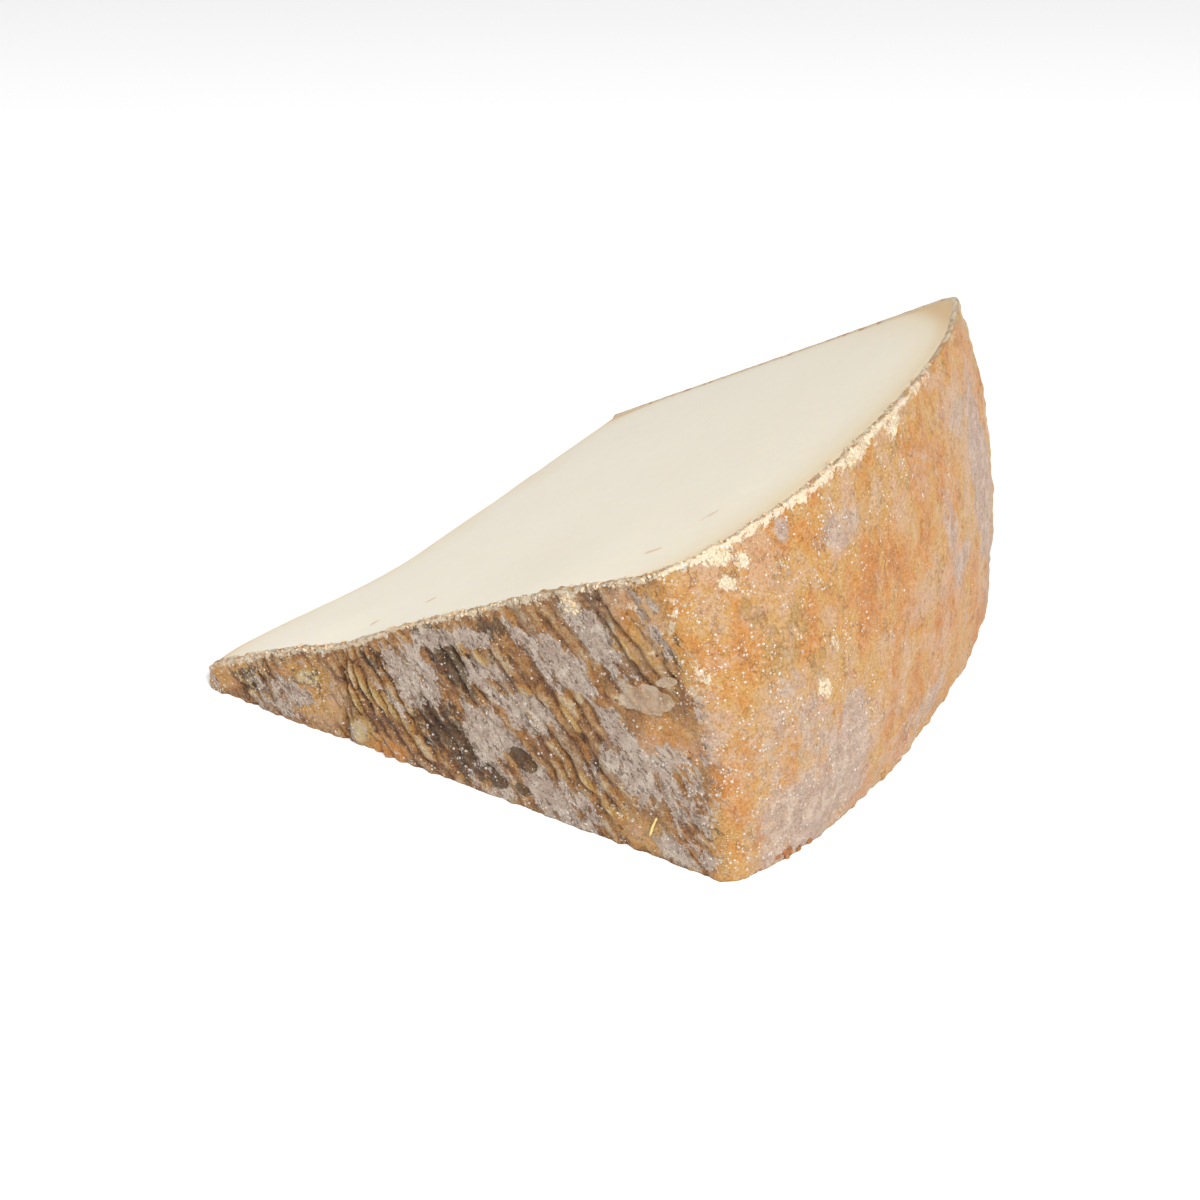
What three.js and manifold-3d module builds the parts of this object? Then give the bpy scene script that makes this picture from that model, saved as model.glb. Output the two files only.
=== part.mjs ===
// A wedge of cheese, cut from a handmade wheel with a bulging hoop and lying on one cut face.
//
// Millimetres, +Z up. While it is shaped, the wedge sits in the wheel's own frame:
//   Y  runs along the wheel's axis, from one flat rind face (near) to the other (far),
//   X  runs outwards from the axis to the hoop,
//   Z  is up, and the lower cut face lies in the plane Z = 0.
// The finished wedge is then moved so that the origin is at the bottom centre of its box.

import * as THREE from 'three';
import { mergeVertices } from 'three/addons/utils/BufferGeometryUtils.js';
import Module from 'manifold-3d';

// ---- the wheel: an uneven drum, wider at the far rind face than at the near one ----
const WHEEL_HEIGHT = 99.6; // along Y, measured low on the wheel
const FAR_FACE_LEAN = 0.1; // the far face leans out by this much for each mm of height
const NEAR_RIM_RADIUS = 88.6;
const FAR_RIM_RADIUS = 118.2;
const NEAR_RIM_X = 100; // where the near rim meets the lower cut
const FAR_RIM_X = 97; // where the far rim meets the lower cut
const NEAR_RIM_ROUNDING = 2.5;
const FAR_RIM_ROUNDING = 6;

// ---- the hoop's bulge: it grows from the lower cut to the upper one ----
const BULGE_AT_LOWER_CUT = 7.7;
const BULGE_AT_UPPER_CUT = 14.1;
const UPPER_CUT_ANGLE = 0.46; // radians round the wheel from the lower cut
const BULGE_SQUARENESS = 2.24; // 2 is a parabola, more is a flatter hoop
const BULGE_LEAN = 0.8; // under 1 the fullest place moves towards the near rim

// ---- the upper cut: a knife stroke that rises towards the hoop and twists a little ----
const UPPER_CUT_START = 4.4; // height over the near tip
const UPPER_CUT_RISE = 0.477; // per mm of X
const UPPER_CUT_TILT = 0.038; // per mm of Y
const UPPER_CUT_TWIST = 0.00064; // per mm of X and mm of Y

// ---- the nose: the point has broken away, except at the tough near rind ----
const NOSE_SETBACK = 16;
const NOSE_FLARE_START = 2; // along Y
const NOSE_FLARE_END = 36; // along Y

// ---- fineness of the faceted surfaces ----
const WHEEL_SEGMENTS = 144;
const HOOP_STEPS = 20;
const RIM_STEPS = 4;
const CUT_STEPS_X = 12;
const CUT_STEPS_Y = 26;
const CUT_MARGIN = 15; // how far the cutting block reaches past the wheel

/** Height of the upper cut over a place on the lower one. */
function upperCutHeight(x, y) {
  return UPPER_CUT_START + UPPER_CUT_RISE * x + UPPER_CUT_TILT * y + UPPER_CUT_TWIST * x * y;
}

/** How far the broken nose is set back from the tip, along the wheel's axis. */
function noseSetback(y) {
  return NOSE_SETBACK * THREE.MathUtils.smoothstep(y, NOSE_FLARE_START, NOSE_FLARE_END);
}

/** How far the hoop stands out beyond the line between the rims. */
function hoopBulge(along, angle) {
  const fullness = 1 - Math.abs(2 * along ** BULGE_LEAN - 1) ** BULGE_SQUARENESS;
  const round = THREE.MathUtils.clamp(angle / UPPER_CUT_ANGLE, -1, 1.5);
  return fullness * THREE.MathUtils.lerp(BULGE_AT_LOWER_CUT, BULGE_AT_UPPER_CUT, round);
}

/** Half the wheel's section: x is a share of the radius, y a share of the height. */
function wheelSection() {
  const points = [new THREE.Vector2(0, 0), new THREE.Vector2(0.5, 0)];
  const nearX = NEAR_RIM_ROUNDING / NEAR_RIM_RADIUS;
  const nearY = NEAR_RIM_ROUNDING / WHEEL_HEIGHT;
  for (let i = 0; i <= RIM_STEPS; i += 1) {
    const turn = (i / RIM_STEPS) * (Math.PI / 2);
    points.push(new THREE.Vector2(1 - nearX * (1 - Math.sin(turn)), nearY * (1 - Math.cos(turn))));
  }
  const farX = FAR_RIM_ROUNDING / FAR_RIM_RADIUS;
  const farY = FAR_RIM_ROUNDING / WHEEL_HEIGHT;
  for (let i = 1; i < HOOP_STEPS; i += 1) {
    points.push(new THREE.Vector2(1, THREE.MathUtils.lerp(nearY, 1 - farY, i / HOOP_STEPS)));
  }
  for (let i = 0; i <= RIM_STEPS; i += 1) {
    const turn = (i / RIM_STEPS) * (Math.PI / 2);
    points.push(new THREE.Vector2(1 - farX * (1 - Math.cos(turn)), 1 - farY * (1 - Math.sin(turn))));
  }
  points.push(new THREE.Vector2(0.5, 1), new THREE.Vector2(0, 1));
  return points;
}

/** The whole wheel: a lathed section, then stretched ring by ring into its uneven drum. */
function wheelGeometry() {
  const startAngle = Math.PI / WHEEL_SEGMENTS;
  const geometry = new THREE.LatheGeometry(wheelSection(), WHEEL_SEGMENTS, startAngle);
  const position = geometry.attributes.position;
  for (let i = 0; i < position.count; i += 1) {
    const along = position.getY(i);
    const share = Math.hypot(position.getX(i), position.getZ(i));
    const angle = Math.atan2(position.getZ(i), position.getX(i));
    const rimRadius = THREE.MathUtils.lerp(NEAR_RIM_RADIUS, FAR_RIM_RADIUS, along);
    const centreX = THREE.MathUtils.lerp(NEAR_RIM_X, FAR_RIM_X, along) - rimRadius;
    const radius = share * (rimRadius + hoopBulge(along, angle));
    const z = radius * Math.sin(angle);
    position.setXYZ(
      i,
      centreX + radius * Math.cos(angle),
      along * (WHEEL_HEIGHT + FAR_FACE_LEAN * z),
      z,
    );
  }
  return geometry;
}

/** The space between the two cuts and the nose: a box bent to follow them. */
function betweenCutsGeometry() {
  const geometry = new THREE.BoxGeometry(1, 1, 1, CUT_STEPS_X, CUT_STEPS_Y, 1);
  const position = geometry.attributes.position;
  const outerX = NEAR_RIM_X + BULGE_AT_UPPER_CUT + CUT_MARGIN;
  for (let i = 0; i < position.count; i += 1) {
    const y = THREE.MathUtils.lerp(-CUT_MARGIN, WHEEL_HEIGHT + CUT_MARGIN, position.getY(i) + 0.5);
    const x = THREE.MathUtils.lerp(noseSetback(y), outerX, position.getX(i) + 0.5);
    const z = position.getZ(i) > 0 ? upperCutHeight(x, y) : 0;
    position.setXYZ(i, x, y, z);
  }
  return geometry;
}

const wasm = await Module();
wasm.setup();

/** A closed three.js geometry as a solid that can be cut. */
function toSolid(geometry) {
  const bare = geometry.clone();
  bare.deleteAttribute('normal');
  bare.deleteAttribute('uv');
  const merged = mergeVertices(bare, 1e-4);
  return new wasm.Manifold(
    new wasm.Mesh({
      numProp: 3,
      vertProperties: new Float32Array(merged.attributes.position.array),
      triVerts: new Uint32Array(merged.index.array),
    }),
  );
}

/** A cut solid as a three.js geometry. */
function toGeometry(solid) {
  const mesh = solid.getMesh();
  const geometry = new THREE.BufferGeometry();
  geometry.setAttribute('position', new THREE.BufferAttribute(mesh.vertProperties, mesh.numProp));
  geometry.setIndex(new THREE.BufferAttribute(mesh.triVerts, 1));
  geometry.computeVertexNormals();
  return geometry;
}

/** Moves a geometry so that the origin is at the bottom centre of its box. */
function standOnOrigin(geometry) {
  geometry.computeBoundingBox();
  const centre = geometry.boundingBox.getCenter(new THREE.Vector3());
  geometry.translate(-centre.x, -centre.y, -geometry.boundingBox.min.z);
  return geometry;
}

const wedge = toSolid(wheelGeometry()).intersect(toSolid(betweenCutsGeometry()));

const cheese = new THREE.MeshStandardMaterial({ color: '#d9b27a', roughness: 0.75, metalness: 0 });
const cheeseWedge = new THREE.Mesh(standOnOrigin(toGeometry(wedge)), cheese);
cheeseWedge.name = 'cheese_wedge';

const group = new THREE.Group();
group.add(cheeseWedge);

export default group;
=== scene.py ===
"""A wedge of ripened cheese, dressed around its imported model.

The wedge was cut from a handmade wheel and lies on one cut face. Two pieces stand for its solid: the
paste, with the smooth cut faces, and the rind, a closed skin round the wheel's three outer sides.
Shapes are worked out in millimetres in the wheel's own frame, as the model's are: X runs out from the
wheel's axis to its bulging hoop, Y along the axis from the mat-marked face, and Z up. Pieces are then
placed in the frame's metres from the model's lowest corner.
"""

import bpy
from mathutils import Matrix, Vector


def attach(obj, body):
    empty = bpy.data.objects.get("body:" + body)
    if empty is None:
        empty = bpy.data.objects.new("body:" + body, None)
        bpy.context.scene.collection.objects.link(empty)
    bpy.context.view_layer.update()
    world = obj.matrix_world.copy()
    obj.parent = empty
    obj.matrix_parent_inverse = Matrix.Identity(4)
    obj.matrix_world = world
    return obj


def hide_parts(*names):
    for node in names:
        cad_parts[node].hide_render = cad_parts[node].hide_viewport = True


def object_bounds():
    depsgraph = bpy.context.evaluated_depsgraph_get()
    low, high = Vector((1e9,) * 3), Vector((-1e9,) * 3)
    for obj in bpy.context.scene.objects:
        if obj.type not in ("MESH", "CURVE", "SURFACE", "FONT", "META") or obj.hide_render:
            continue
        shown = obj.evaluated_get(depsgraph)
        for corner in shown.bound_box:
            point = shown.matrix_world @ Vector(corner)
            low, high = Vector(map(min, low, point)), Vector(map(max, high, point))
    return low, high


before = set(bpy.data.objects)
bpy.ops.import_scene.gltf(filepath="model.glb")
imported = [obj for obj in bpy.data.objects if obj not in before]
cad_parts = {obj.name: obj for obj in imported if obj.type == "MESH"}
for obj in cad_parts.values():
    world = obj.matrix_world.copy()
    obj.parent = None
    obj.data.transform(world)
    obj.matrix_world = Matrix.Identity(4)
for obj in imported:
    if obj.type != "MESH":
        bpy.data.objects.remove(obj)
CAD_BOX = [[float(c) for c in corner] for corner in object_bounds()]

import logging
import math
import random
from collections.abc import Callable, Sequence
from dataclasses import dataclass, field
from enum import Enum
from functools import lru_cache, partial

import bmesh
import bpy
from mathutils import Matrix, Vector, noise

LOG = logging.getLogger("cheese_wedge")
NODE = "cheese_wedge"
BODY = "root"
MM = 0.001
EDGE_SLACK = 1e-4
STRAND_TURN = 47.0  # degrees that the mat's strands fall from level on the near face
ANY_TURN = 6.0  # radians, the most that a lump is turned by chance
QUIET_HOOP = (45.0, 80.0)  # where on the hoop's run its cut edge grows smooth and thin

Colour = tuple[float, float, float]


# ---- Small helpers ----


def srgb(red: int, green: int, blue: int) -> Colour:
    """Turns a colour as it is seen on a screen, 0 to 255, into the linear one that shaders use.

    Args:
        red: The red channel.
        green: The green channel.
        blue: The blue channel.

    Returns:
        The linear colour.
    """

    def linear(value: float) -> float:
        """One channel, 0 to 1."""
        return value / 12.92 if value <= 0.04045 else ((value + 0.055) / 1.055) ** 2.4

    return (linear(red / 255), linear(green / 255), linear(blue / 255))


def lerp(low: float, high: float, share: float) -> float:
    """The value that lies share of the way from low to high."""
    return low + (high - low) * share


def clamp(value: float, low: float = 0.0, high: float = 1.0) -> float:
    """The value, kept between low and high."""
    return max(low, min(high, value))


def smoothstep(value: float, low: float, high: float) -> float:
    """Eases from 0 at low to 1 at high."""
    share = clamp((value - low) / (high - low))
    return share * share * (3 - 2 * share)


def bell(value: float, centre: float, width: float) -> float:
    """A smooth hump of height 1 at centre, which is down to a third at width from it."""
    return math.exp(-(((value - centre) / width) ** 2))


def wobble(x: float, y: float, z: float, size: float, seed: float = 0.0) -> float:
    """Smooth noise from about -1 to 1, whose lumps are size millimetres across."""
    return noise.noise(Vector((x / size + seed, y / size - seed, z / size + 2 * seed)))


def rough_wobble(x: float, y: float, z: float, size: float, octaves: int, seed: float = 0.0) -> float:
    """Layered noise from about -1 to 1, whose largest lumps are size millimetres across."""
    place = Vector((x / size + seed, y / size - seed, z / size + 2 * seed))
    return noise.fractal(place, 1.0, 2.0, octaves)


# ---- The wedge's form, shared by all its pieces ----


@dataclass(frozen=True)
class WheelForm:
    """The uneven wheel and the cuts that took the wedge from it. Lengths are in millimetres."""

    height: float = 99.6
    far_face_lean: float = 0.1
    near_rim_radius: float = 88.6
    far_rim_radius: float = 118.2
    near_rim_x: float = 100.0
    far_rim_x: float = 97.0
    low_bulge: float = 7.7
    high_bulge: float = 14.1
    upper_cut_angle: float = 0.46
    bulge_squareness: float = 2.24
    bulge_lean: float = 0.8
    cut_start: float = 4.4
    cut_rise: float = 0.477
    cut_tilt: float = 0.038
    cut_twist: float = 0.00064
    nose_setback: float = 16.0
    nose_flare: tuple[float, float] = (2.0, 36.0)
    near_run: float = 100.0
    hoop_run: float = 101.0
    far_run: float = 81.0
    far_rim_rounding: float = 6.0
    near_rim_rounding: tuple[float, float] = (1.8, 5.5)
    near_rounding_heights: tuple[float, float] = (24.0, 44.0)
    tip_rounding: float = 2.2
    worn_dip: float = 1.2
    crown_swell: float = 0.7
    blunt_tip: float = 1.7
    cut_ripple: float = 0.12
    corner_reach: float = 8.0

    @property
    def strip(self) -> tuple[float, float]:
        """Where the rind's run starts and ends. It is 0 at the near rim and grows round the hoop."""
        return -self.near_run, self.hoop_run + self.far_run

    def nose(self, y: float) -> float:
        """How far out the broken nose lies, at a place along the wheel's axis."""
        return self.nose_setback * smoothstep(y, *self.nose_flare)

    def cut_height(self, x: float, y: float) -> float:
        """Height of the upper cut, with the dips and swells that the knife and wear left in it.

        Args:
            x: Place out from the axis.
            y: Place along the axis.

        Returns:
            The height over the lower cut.
        """
        plane = self.cut_start + self.cut_rise * x + self.cut_tilt * y + self.cut_twist * x * y
        worn = -self.worn_dip * bell(x, 30, 9) * bell(y, 0, 8)
        crown = self.crown_swell * bell(x, 68, 13) * bell(y, 0, 22)
        blunt = -self.blunt_tip * (1 - smoothstep(x, -1.5, 3.5)) ** 2
        return plane + worn + crown + blunt + self.cut_ripple * wobble(x, y, 0, 26, 3.1)

    def hoop_x(self, along: float, z: float) -> float:
        """How far out the hoop reaches.

        Args:
            along: Place along the axis, as a share of the wheel's height.
            z: Height over the lower cut.

        Returns:
            X.
        """
        rim_radius = lerp(self.near_rim_radius, self.far_rim_radius, along)
        fullness = 1 - abs(2 * clamp(along) ** self.bulge_lean - 1) ** self.bulge_squareness
        centre = lerp(self.near_rim_x, self.far_rim_x, along) - rim_radius
        radius = rim_radius
        for _ in range(3):
            turn = clamp(math.asin(clamp(z / radius)) / self.upper_cut_angle, 0, 1.5)
            radius = rim_radius + fullness * lerp(self.low_bulge, self.high_bulge, turn)
        return centre + math.sqrt(radius * radius - z * z)

    def sharp_outline(self, run: float, z: float) -> tuple[float, float]:
        """The level outline of the wheel's outer sides, with square rims.

        Args:
            run: Place on the rind's run.
            z: Height over the lower cut.

        Returns:
            X and Y.
        """
        depth = self.height + self.far_face_lean * z
        if run < 0:
            x = (1 + run / self.near_run) * self.hoop_x(0.0, z)
            return x, self.tip_rounding * (1 - smoothstep(x, -2.5, 3.5)) ** 2
        if run <= self.hoop_run:
            along = run / self.hoop_run
            return self.hoop_x(along, z), along * depth
        back = (run - self.hoop_run) / self.far_run
        return lerp(self.hoop_x(1.0, z), self.nose(depth), back), depth

    def outline(self, run: float, z: float) -> tuple[float, float]:
        """The level outline with its rims rounded, by averaging the square one across each rim.

        Args:
            run: Place on the rind's run.
            z: Height over the lower cut.

        Returns:
            X and Y.
        """
        share = smoothstep(z, *self.near_rounding_heights)
        near_reach = lerp(*self.near_rim_rounding, share)
        for rim, reach in ((0.0, near_reach), (self.hoop_run, self.far_rim_rounding)):
            slack = 1 - abs(run - rim) / (1.5 * reach)
            if slack > 0:
                reach *= min(1.0, 1.6 * slack)
                steps = ((-1, 1), (-0.5, 2), (0, 3), (0.5, 2), (1, 1))
                points = [(self.sharp_outline(run + k * reach, z), n) for k, n in steps]
                total = sum(n for _, n in points)
                return (
                    sum(p[0] * n for p, n in points) / total,
                    sum(p[1] * n for p, n in points) / total,
                )
        return self.sharp_outline(run, z)

    def inward(self, run: float) -> tuple[float, float]:
        """The level direction into the wedge, which turns gently round each rim.

        Args:
            run: Place on the rind's run.

        Returns:
            Its X and Y, as a vector of length 1.
        """
        reach = self.corner_reach
        past_near = smoothstep(run, -reach, reach)
        past_far = smoothstep(run, self.hoop_run - reach, self.hoop_run + reach)
        x = -past_near * (1 - past_far)
        y = (1 - past_near) - past_far
        length = math.hypot(x, y) or 1.0
        return x / length, y / length

    def edge_point(self, run: float, share: float, inset: float = 0.0) -> tuple[float, float, float]:
        """A place on the wedge's outer sides.

        Args:
            run: Place on the rind's run.
            share: 0 on the lower cut, 1 on the upper one.
            inset: How far inside the outer surface it lies.

        Returns:
            X, Y and Z.
        """
        x, y = 60.0, 50.0  # any place well inside, from which the few rounds below close in
        z = share * self.cut_height(x, y)
        into_x, into_y = self.inward(run)
        for _ in range(6):
            x, y = self.outline(run, z)
            x, y = x + into_x * inset, y + into_y * inset
            z = share * self.cut_height(x, y)
        return x, y, z


def place(x: float, y: float, z: float) -> Vector:
    """A place in the wheel's frame as one in the frame, in metres."""
    low = CAD_BOX[0]
    return Vector((low[0] + x * MM, low[1] + y * MM, low[2] + z * MM))


def unplace(point: Vector) -> tuple[float, float, float]:
    """A place in the frame, in metres, as one in the wheel's frame."""
    low = CAD_BOX[0]
    return (point.x - low[0]) / MM, (point.y - low[1]) / MM, (point.z - low[2]) / MM


# ---- What has grown, worn and been pressed into the rind ----


@dataclass(frozen=True)
class Patch:
    """A soft oval on one side of the wheel. Lengths are in millimetres along and up that side."""

    along: float
    up: float
    half_along: float
    half_up: float
    turn: float = 0.0
    strength: float = 1.0

    def weight(self, along: float, up: float) -> float:
        """How strongly the patch covers a place: half its strength on its nominal outline.

        Args:
            along: Place along the side.
            up: Height over the lower cut.

        Returns:
            The strength there.
        """
        da, du = along - self.along, up - self.up
        reach = 1.5 * (self.half_along + self.half_up)
        if abs(da) > reach or abs(du) > reach:
            return 0.0
        turn = math.radians(self.turn)
        a = (da * math.cos(turn) + du * math.sin(turn)) / self.half_along
        b = (du * math.cos(turn) - da * math.sin(turn)) / self.half_up
        return self.strength * max(0.0, 1 - 0.5 * (a * a + b * b))


def covered(patches: Sequence[Patch], along: float, up: float) -> float:
    """How strongly the strongest of several patches covers a place."""
    return max((patch.weight(along, up) for patch in patches), default=0.0)


def ovals(*rows: tuple[float, ...]) -> tuple[Patch, ...]:
    """Patches from rows of along, up, half_along, half_up and, where they matter, turn and strength."""
    return tuple(Patch(*row) for row in rows)


@dataclass(frozen=True)
class Marks:
    """What is at one place on the rind. Each value runs from 0 to 1 unless it says otherwise."""

    height: float  # millimetres out from the wheel's smooth form
    strand: float  # 0 in a groove between the mat's strands, 1 on top of one
    tint: float  # 0 where a strand is grey and worn, 1 where it is golden
    curd: float  # bare curd that swells through the skin
    film: float  # grey mould film
    dark: float  # dark mould and dirt
    crust: float  # pale broken crust and crumbs
    amber: float  # bare orange skin
    grain: float  # how thick the white grains lie


@dataclass(frozen=True)
class MatFace:
    """A flat face of the wheel, with the print of the woven mat that it drained on."""

    seam: float
    lean_before: float
    lean_after: float
    pitch: float
    films: tuple[Patch, ...]
    darks: tuple[Patch, ...]
    smooth: tuple[Patch, ...]
    ambers: tuple[Patch, ...]
    crusts: tuple[Patch, ...]
    curds: tuple[Patch, ...]
    bold: tuple[Patch, ...]
    edge_wear: float
    seed: float
    seam_lean: float = 0.06
    seam_bend: float = 5.0
    seam_depth: float = 0.6
    curd_swell: float = 0.55
    grain_cover: float = 0.16

    def across_and_along(self, x: float, z: float) -> tuple[float, float]:
        """Where a place lies on the mat's strands.

        Args:
            x: Place out from the axis.
            z: Height over the lower cut.

        Returns:
            How far across them it is, counted in strands, and how far along them, in millimetres.
        """
        seam = self.seam + self.seam_lean * z
        after = x > seam
        lean = math.radians(self.lean_after if after else self.lean_before)
        bend = -self.seam_bend * math.exp(-abs(x - seam) / 5.5) if after else 0.0
        across = (x * math.sin(lean) + bend + z * math.cos(lean)) / self.pitch
        across += 0.5 * wobble(x, 0, z, 13, self.seed) + 0.2 * wobble(x, 0, z, 4.5, self.seed)
        across += 0.07 * wobble(x, 0, z, 1.6, self.seed + 2)
        return across, x * math.cos(lean) - z * math.sin(lean)

    def strand(self, x: float, z: float) -> tuple[float, float, float]:
        """The mat's print at a place: round strands, each broken into grains.

        Args:
            x: Place out from the axis.
            z: Height over the lower cut.

        Returns:
            How far up a grain's round back the place is, from 0 to 1, how boldly it stands, and its tint.
        """
        across, along = self.across_and_along(x, z)
        number = math.floor(across)
        share = across - number
        chance = noise.cell(Vector((number + 0.5, self.seed, 0.5)))
        length = lerp(5.0, 9.0, abs(chance))
        beat = along / length + 7 * chance + 0.25 * wobble(x, 0, z, 5, self.seed + 4)
        grain = math.floor(beat)
        tint = abs(noise.cell(Vector((number + 0.5, grain + 0.5, self.seed))))
        boldness = abs(noise.cell(Vector((number + 0.5, grain + 0.5, self.seed + 3.0))))
        part = beat - grain
        ends = 1 - abs(2 * part - 1) ** 4
        back = 1 - abs(2 * share - 1) ** 2.2
        value = back * lerp(0.45, 1.0, ends) * lerp(0.4, 1.0, boldness)
        return clamp(value), boldness, tint

    def marks(self, x: float, z: float, up_share: float) -> Marks:
        """Everything at a place on the face.

        Args:
            x: Place out from the axis.
            z: Height over the lower cut.
            up_share: 0 on the lower cut, 1 on the upper one.

        Returns:
            The marks.
        """
        strand, boldness, tint = self.strand(x, z)
        across, along = self.across_and_along(x, z)
        drift = rough_wobble(along * 0.5, 0, across * self.pitch, 4.2, 5, self.seed + 9)
        film = covered(self.films, x, z) + 0.8 * drift
        film += 0.14 * (strand - 0.5)
        dark = covered(self.darks, x, z) + 0.3 * rough_wobble(along * 0.6, 4, across * 2, 3.4, 4, 3)
        smooth = covered(self.smooth, x, z)
        amber = covered(self.ambers, x, z) + 0.2 * rough_wobble(x, 0, z, 5, 3, 31)
        curd = covered(self.curds, x, z) + 0.12 * wobble(x, 0, z, 2.0, 27)
        below_cut = (1 - up_share) * WHEEL.cut_height(x, 0)
        ragged = 1.5 + 1.3 * wobble(x, 0, 0, 4.0, 7) + 0.6 * wobble(x, 0, z, 1.3, 8)
        rim = 0.75 * bell(x, 100, 4.5) * clamp(0.75 + 1.1 * wobble(x, 0, z, 5, 45))
        fleck = 0.62 * smoothstep(wobble(x, 0, z, 2.6, 47), 0.3, 0.5) * smoothstep(x, 66, 84)
        crust = max(covered(self.crusts, x, z), 0.8 * bell(below_cut, 0, max(0.4, ragged)), rim, fleck)
        film -= 1.2 * smoothstep(dark, 0.85, 1.15) + 0.8 * bell(below_cut, 0, 1.3)
        filmed = smoothstep(film, 0.42, 0.62)
        swell = smoothstep(curd, 0.3, 0.8)
        shown = 0.4 + 0.6 * covered(self.bold, x, z)
        strand = lerp(0.5, strand, shown * (1 - 0.8 * smoothstep(smooth, 0.2, 0.6)))
        depth = lerp(0.5, 1.1, boldness) * (1 - swell)
        height = depth * (strand - 0.5) * (1 - 0.72 * filmed) + 0.06 * filmed + self.curd_swell * swell
        height += 0.5 * wobble(x, 0, z, 13, self.seed + 1) + 0.2 * wobble(x, 0, z, 4.5, self.seed)
        height += 0.34 * rough_wobble(x, 0, z, 2.0, 5, self.seed + 3) * (1 - 0.45 * filmed)
        height *= 1 - self.edge_wear * bell(below_cut, 0, 4)
        seam = self.seam + self.seam_lean * z + 1.1 * wobble(0, 0, z, 3.5, 51)
        groove = bell(x, seam, 0.6) * smoothstep(z, 17.5, 13)
        height -= self.seam_depth * groove
        # painted shade: the strand value is lowered in the seam's sunk groove, so the rind's colour also runs
        # darker there
        strand = lerp(strand, 0.2, 0.5 * groove)
        shares = (clamp(value) for value in (curd, film, dark, crust, amber))
        return Marks(height, strand, tint, *shares, self.grain_cover)


@dataclass(frozen=True)
class HoopFace:
    """The wheel's bulging side, with its orange skin, mould bloom, streaks and grains."""

    films: tuple[Patch, ...]
    darks: tuple[Patch, ...]
    crusts: tuple[Patch, ...]
    curds: tuple[Patch, ...]
    seed: float
    plain_strand: float = 0.6
    plain_tint: float = 0.5

    def marks(self, y: float, z: float, up_share: float, top: float) -> Marks:
        """Everything at a place on the hoop.

        Args:
            y: Place along the axis.
            z: Height over the lower cut.
            up_share: 0 on the lower cut, 1 on the upper one.
            top: Height of the upper cut here.

        Returns:
            The marks.
        """
        below_cut = (1 - up_share) * top
        film = covered(self.films, y, z) + 0.4 * rough_wobble(0, y, z * 0.7, 7, 5, self.seed)
        film -= 0.8 * bell(below_cut, 0, 1.8)
        dark = 0.8 * covered(self.darks, y, z) + 0.3 * rough_wobble(0, y, z, 1.8, 3, 5)
        fade = 1 - 0.75 * smoothstep(y, 45, 75)
        ragged = 1.1 + 0.9 * wobble(0, y, 0, 4.5, 7) + 0.5 * wobble(0, y, z, 1.3, 8)
        lip = 0.95 * bell(below_cut, 0, max(0.5, 1.9 * ragged)) * fade
        rim = 0.8 * bell(y, 0.6, 1.7) * clamp(0.5 + 1.2 * wobble(0, 0, z, 5, 19)) * smoothstep(z, 6, 26)
        crust = max(covered(self.crusts, y, z), lip, rim)
        height = 0.5 * wobble(0, y, z, 17, self.seed) + 0.34 * wobble(0, y, z, 6, self.seed + 2)
        height += 0.2 * wobble(0, y * 1.6, z * 0.8, 3.0, self.seed + 4)
        height += 0.24 * rough_wobble(0, y, z, 1.9, 5, self.seed + 6)
        crusted = smoothstep(crust + 0.3 * wobble(0, y, z, 1.2, 2), 0.5, 0.8)
        height += crusted * (0.22 + 0.3 * rough_wobble(3, y, z, 1.2, 3))
        pit = smoothstep(wobble(0, y, z, 2.4, self.seed + 8), 0.42, 0.7)
        height -= 0.26 * pit * (1 - crusted)
        thick = clamp((0.85 - y / 60) * (0.4 + 0.6 * up_share) + 0.45 * wobble(0, y, z, 10, 12))
        curd = covered(self.curds, y, z) + 0.4 * rough_wobble(0, y, z, 4, 5, 33)
        shares = (clamp(value) for value in (curd, film, dark, crust))
        return Marks(height, self.plain_strand, self.plain_tint, *shares, 1.0, thick)


WHEEL = WheelForm()

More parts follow.
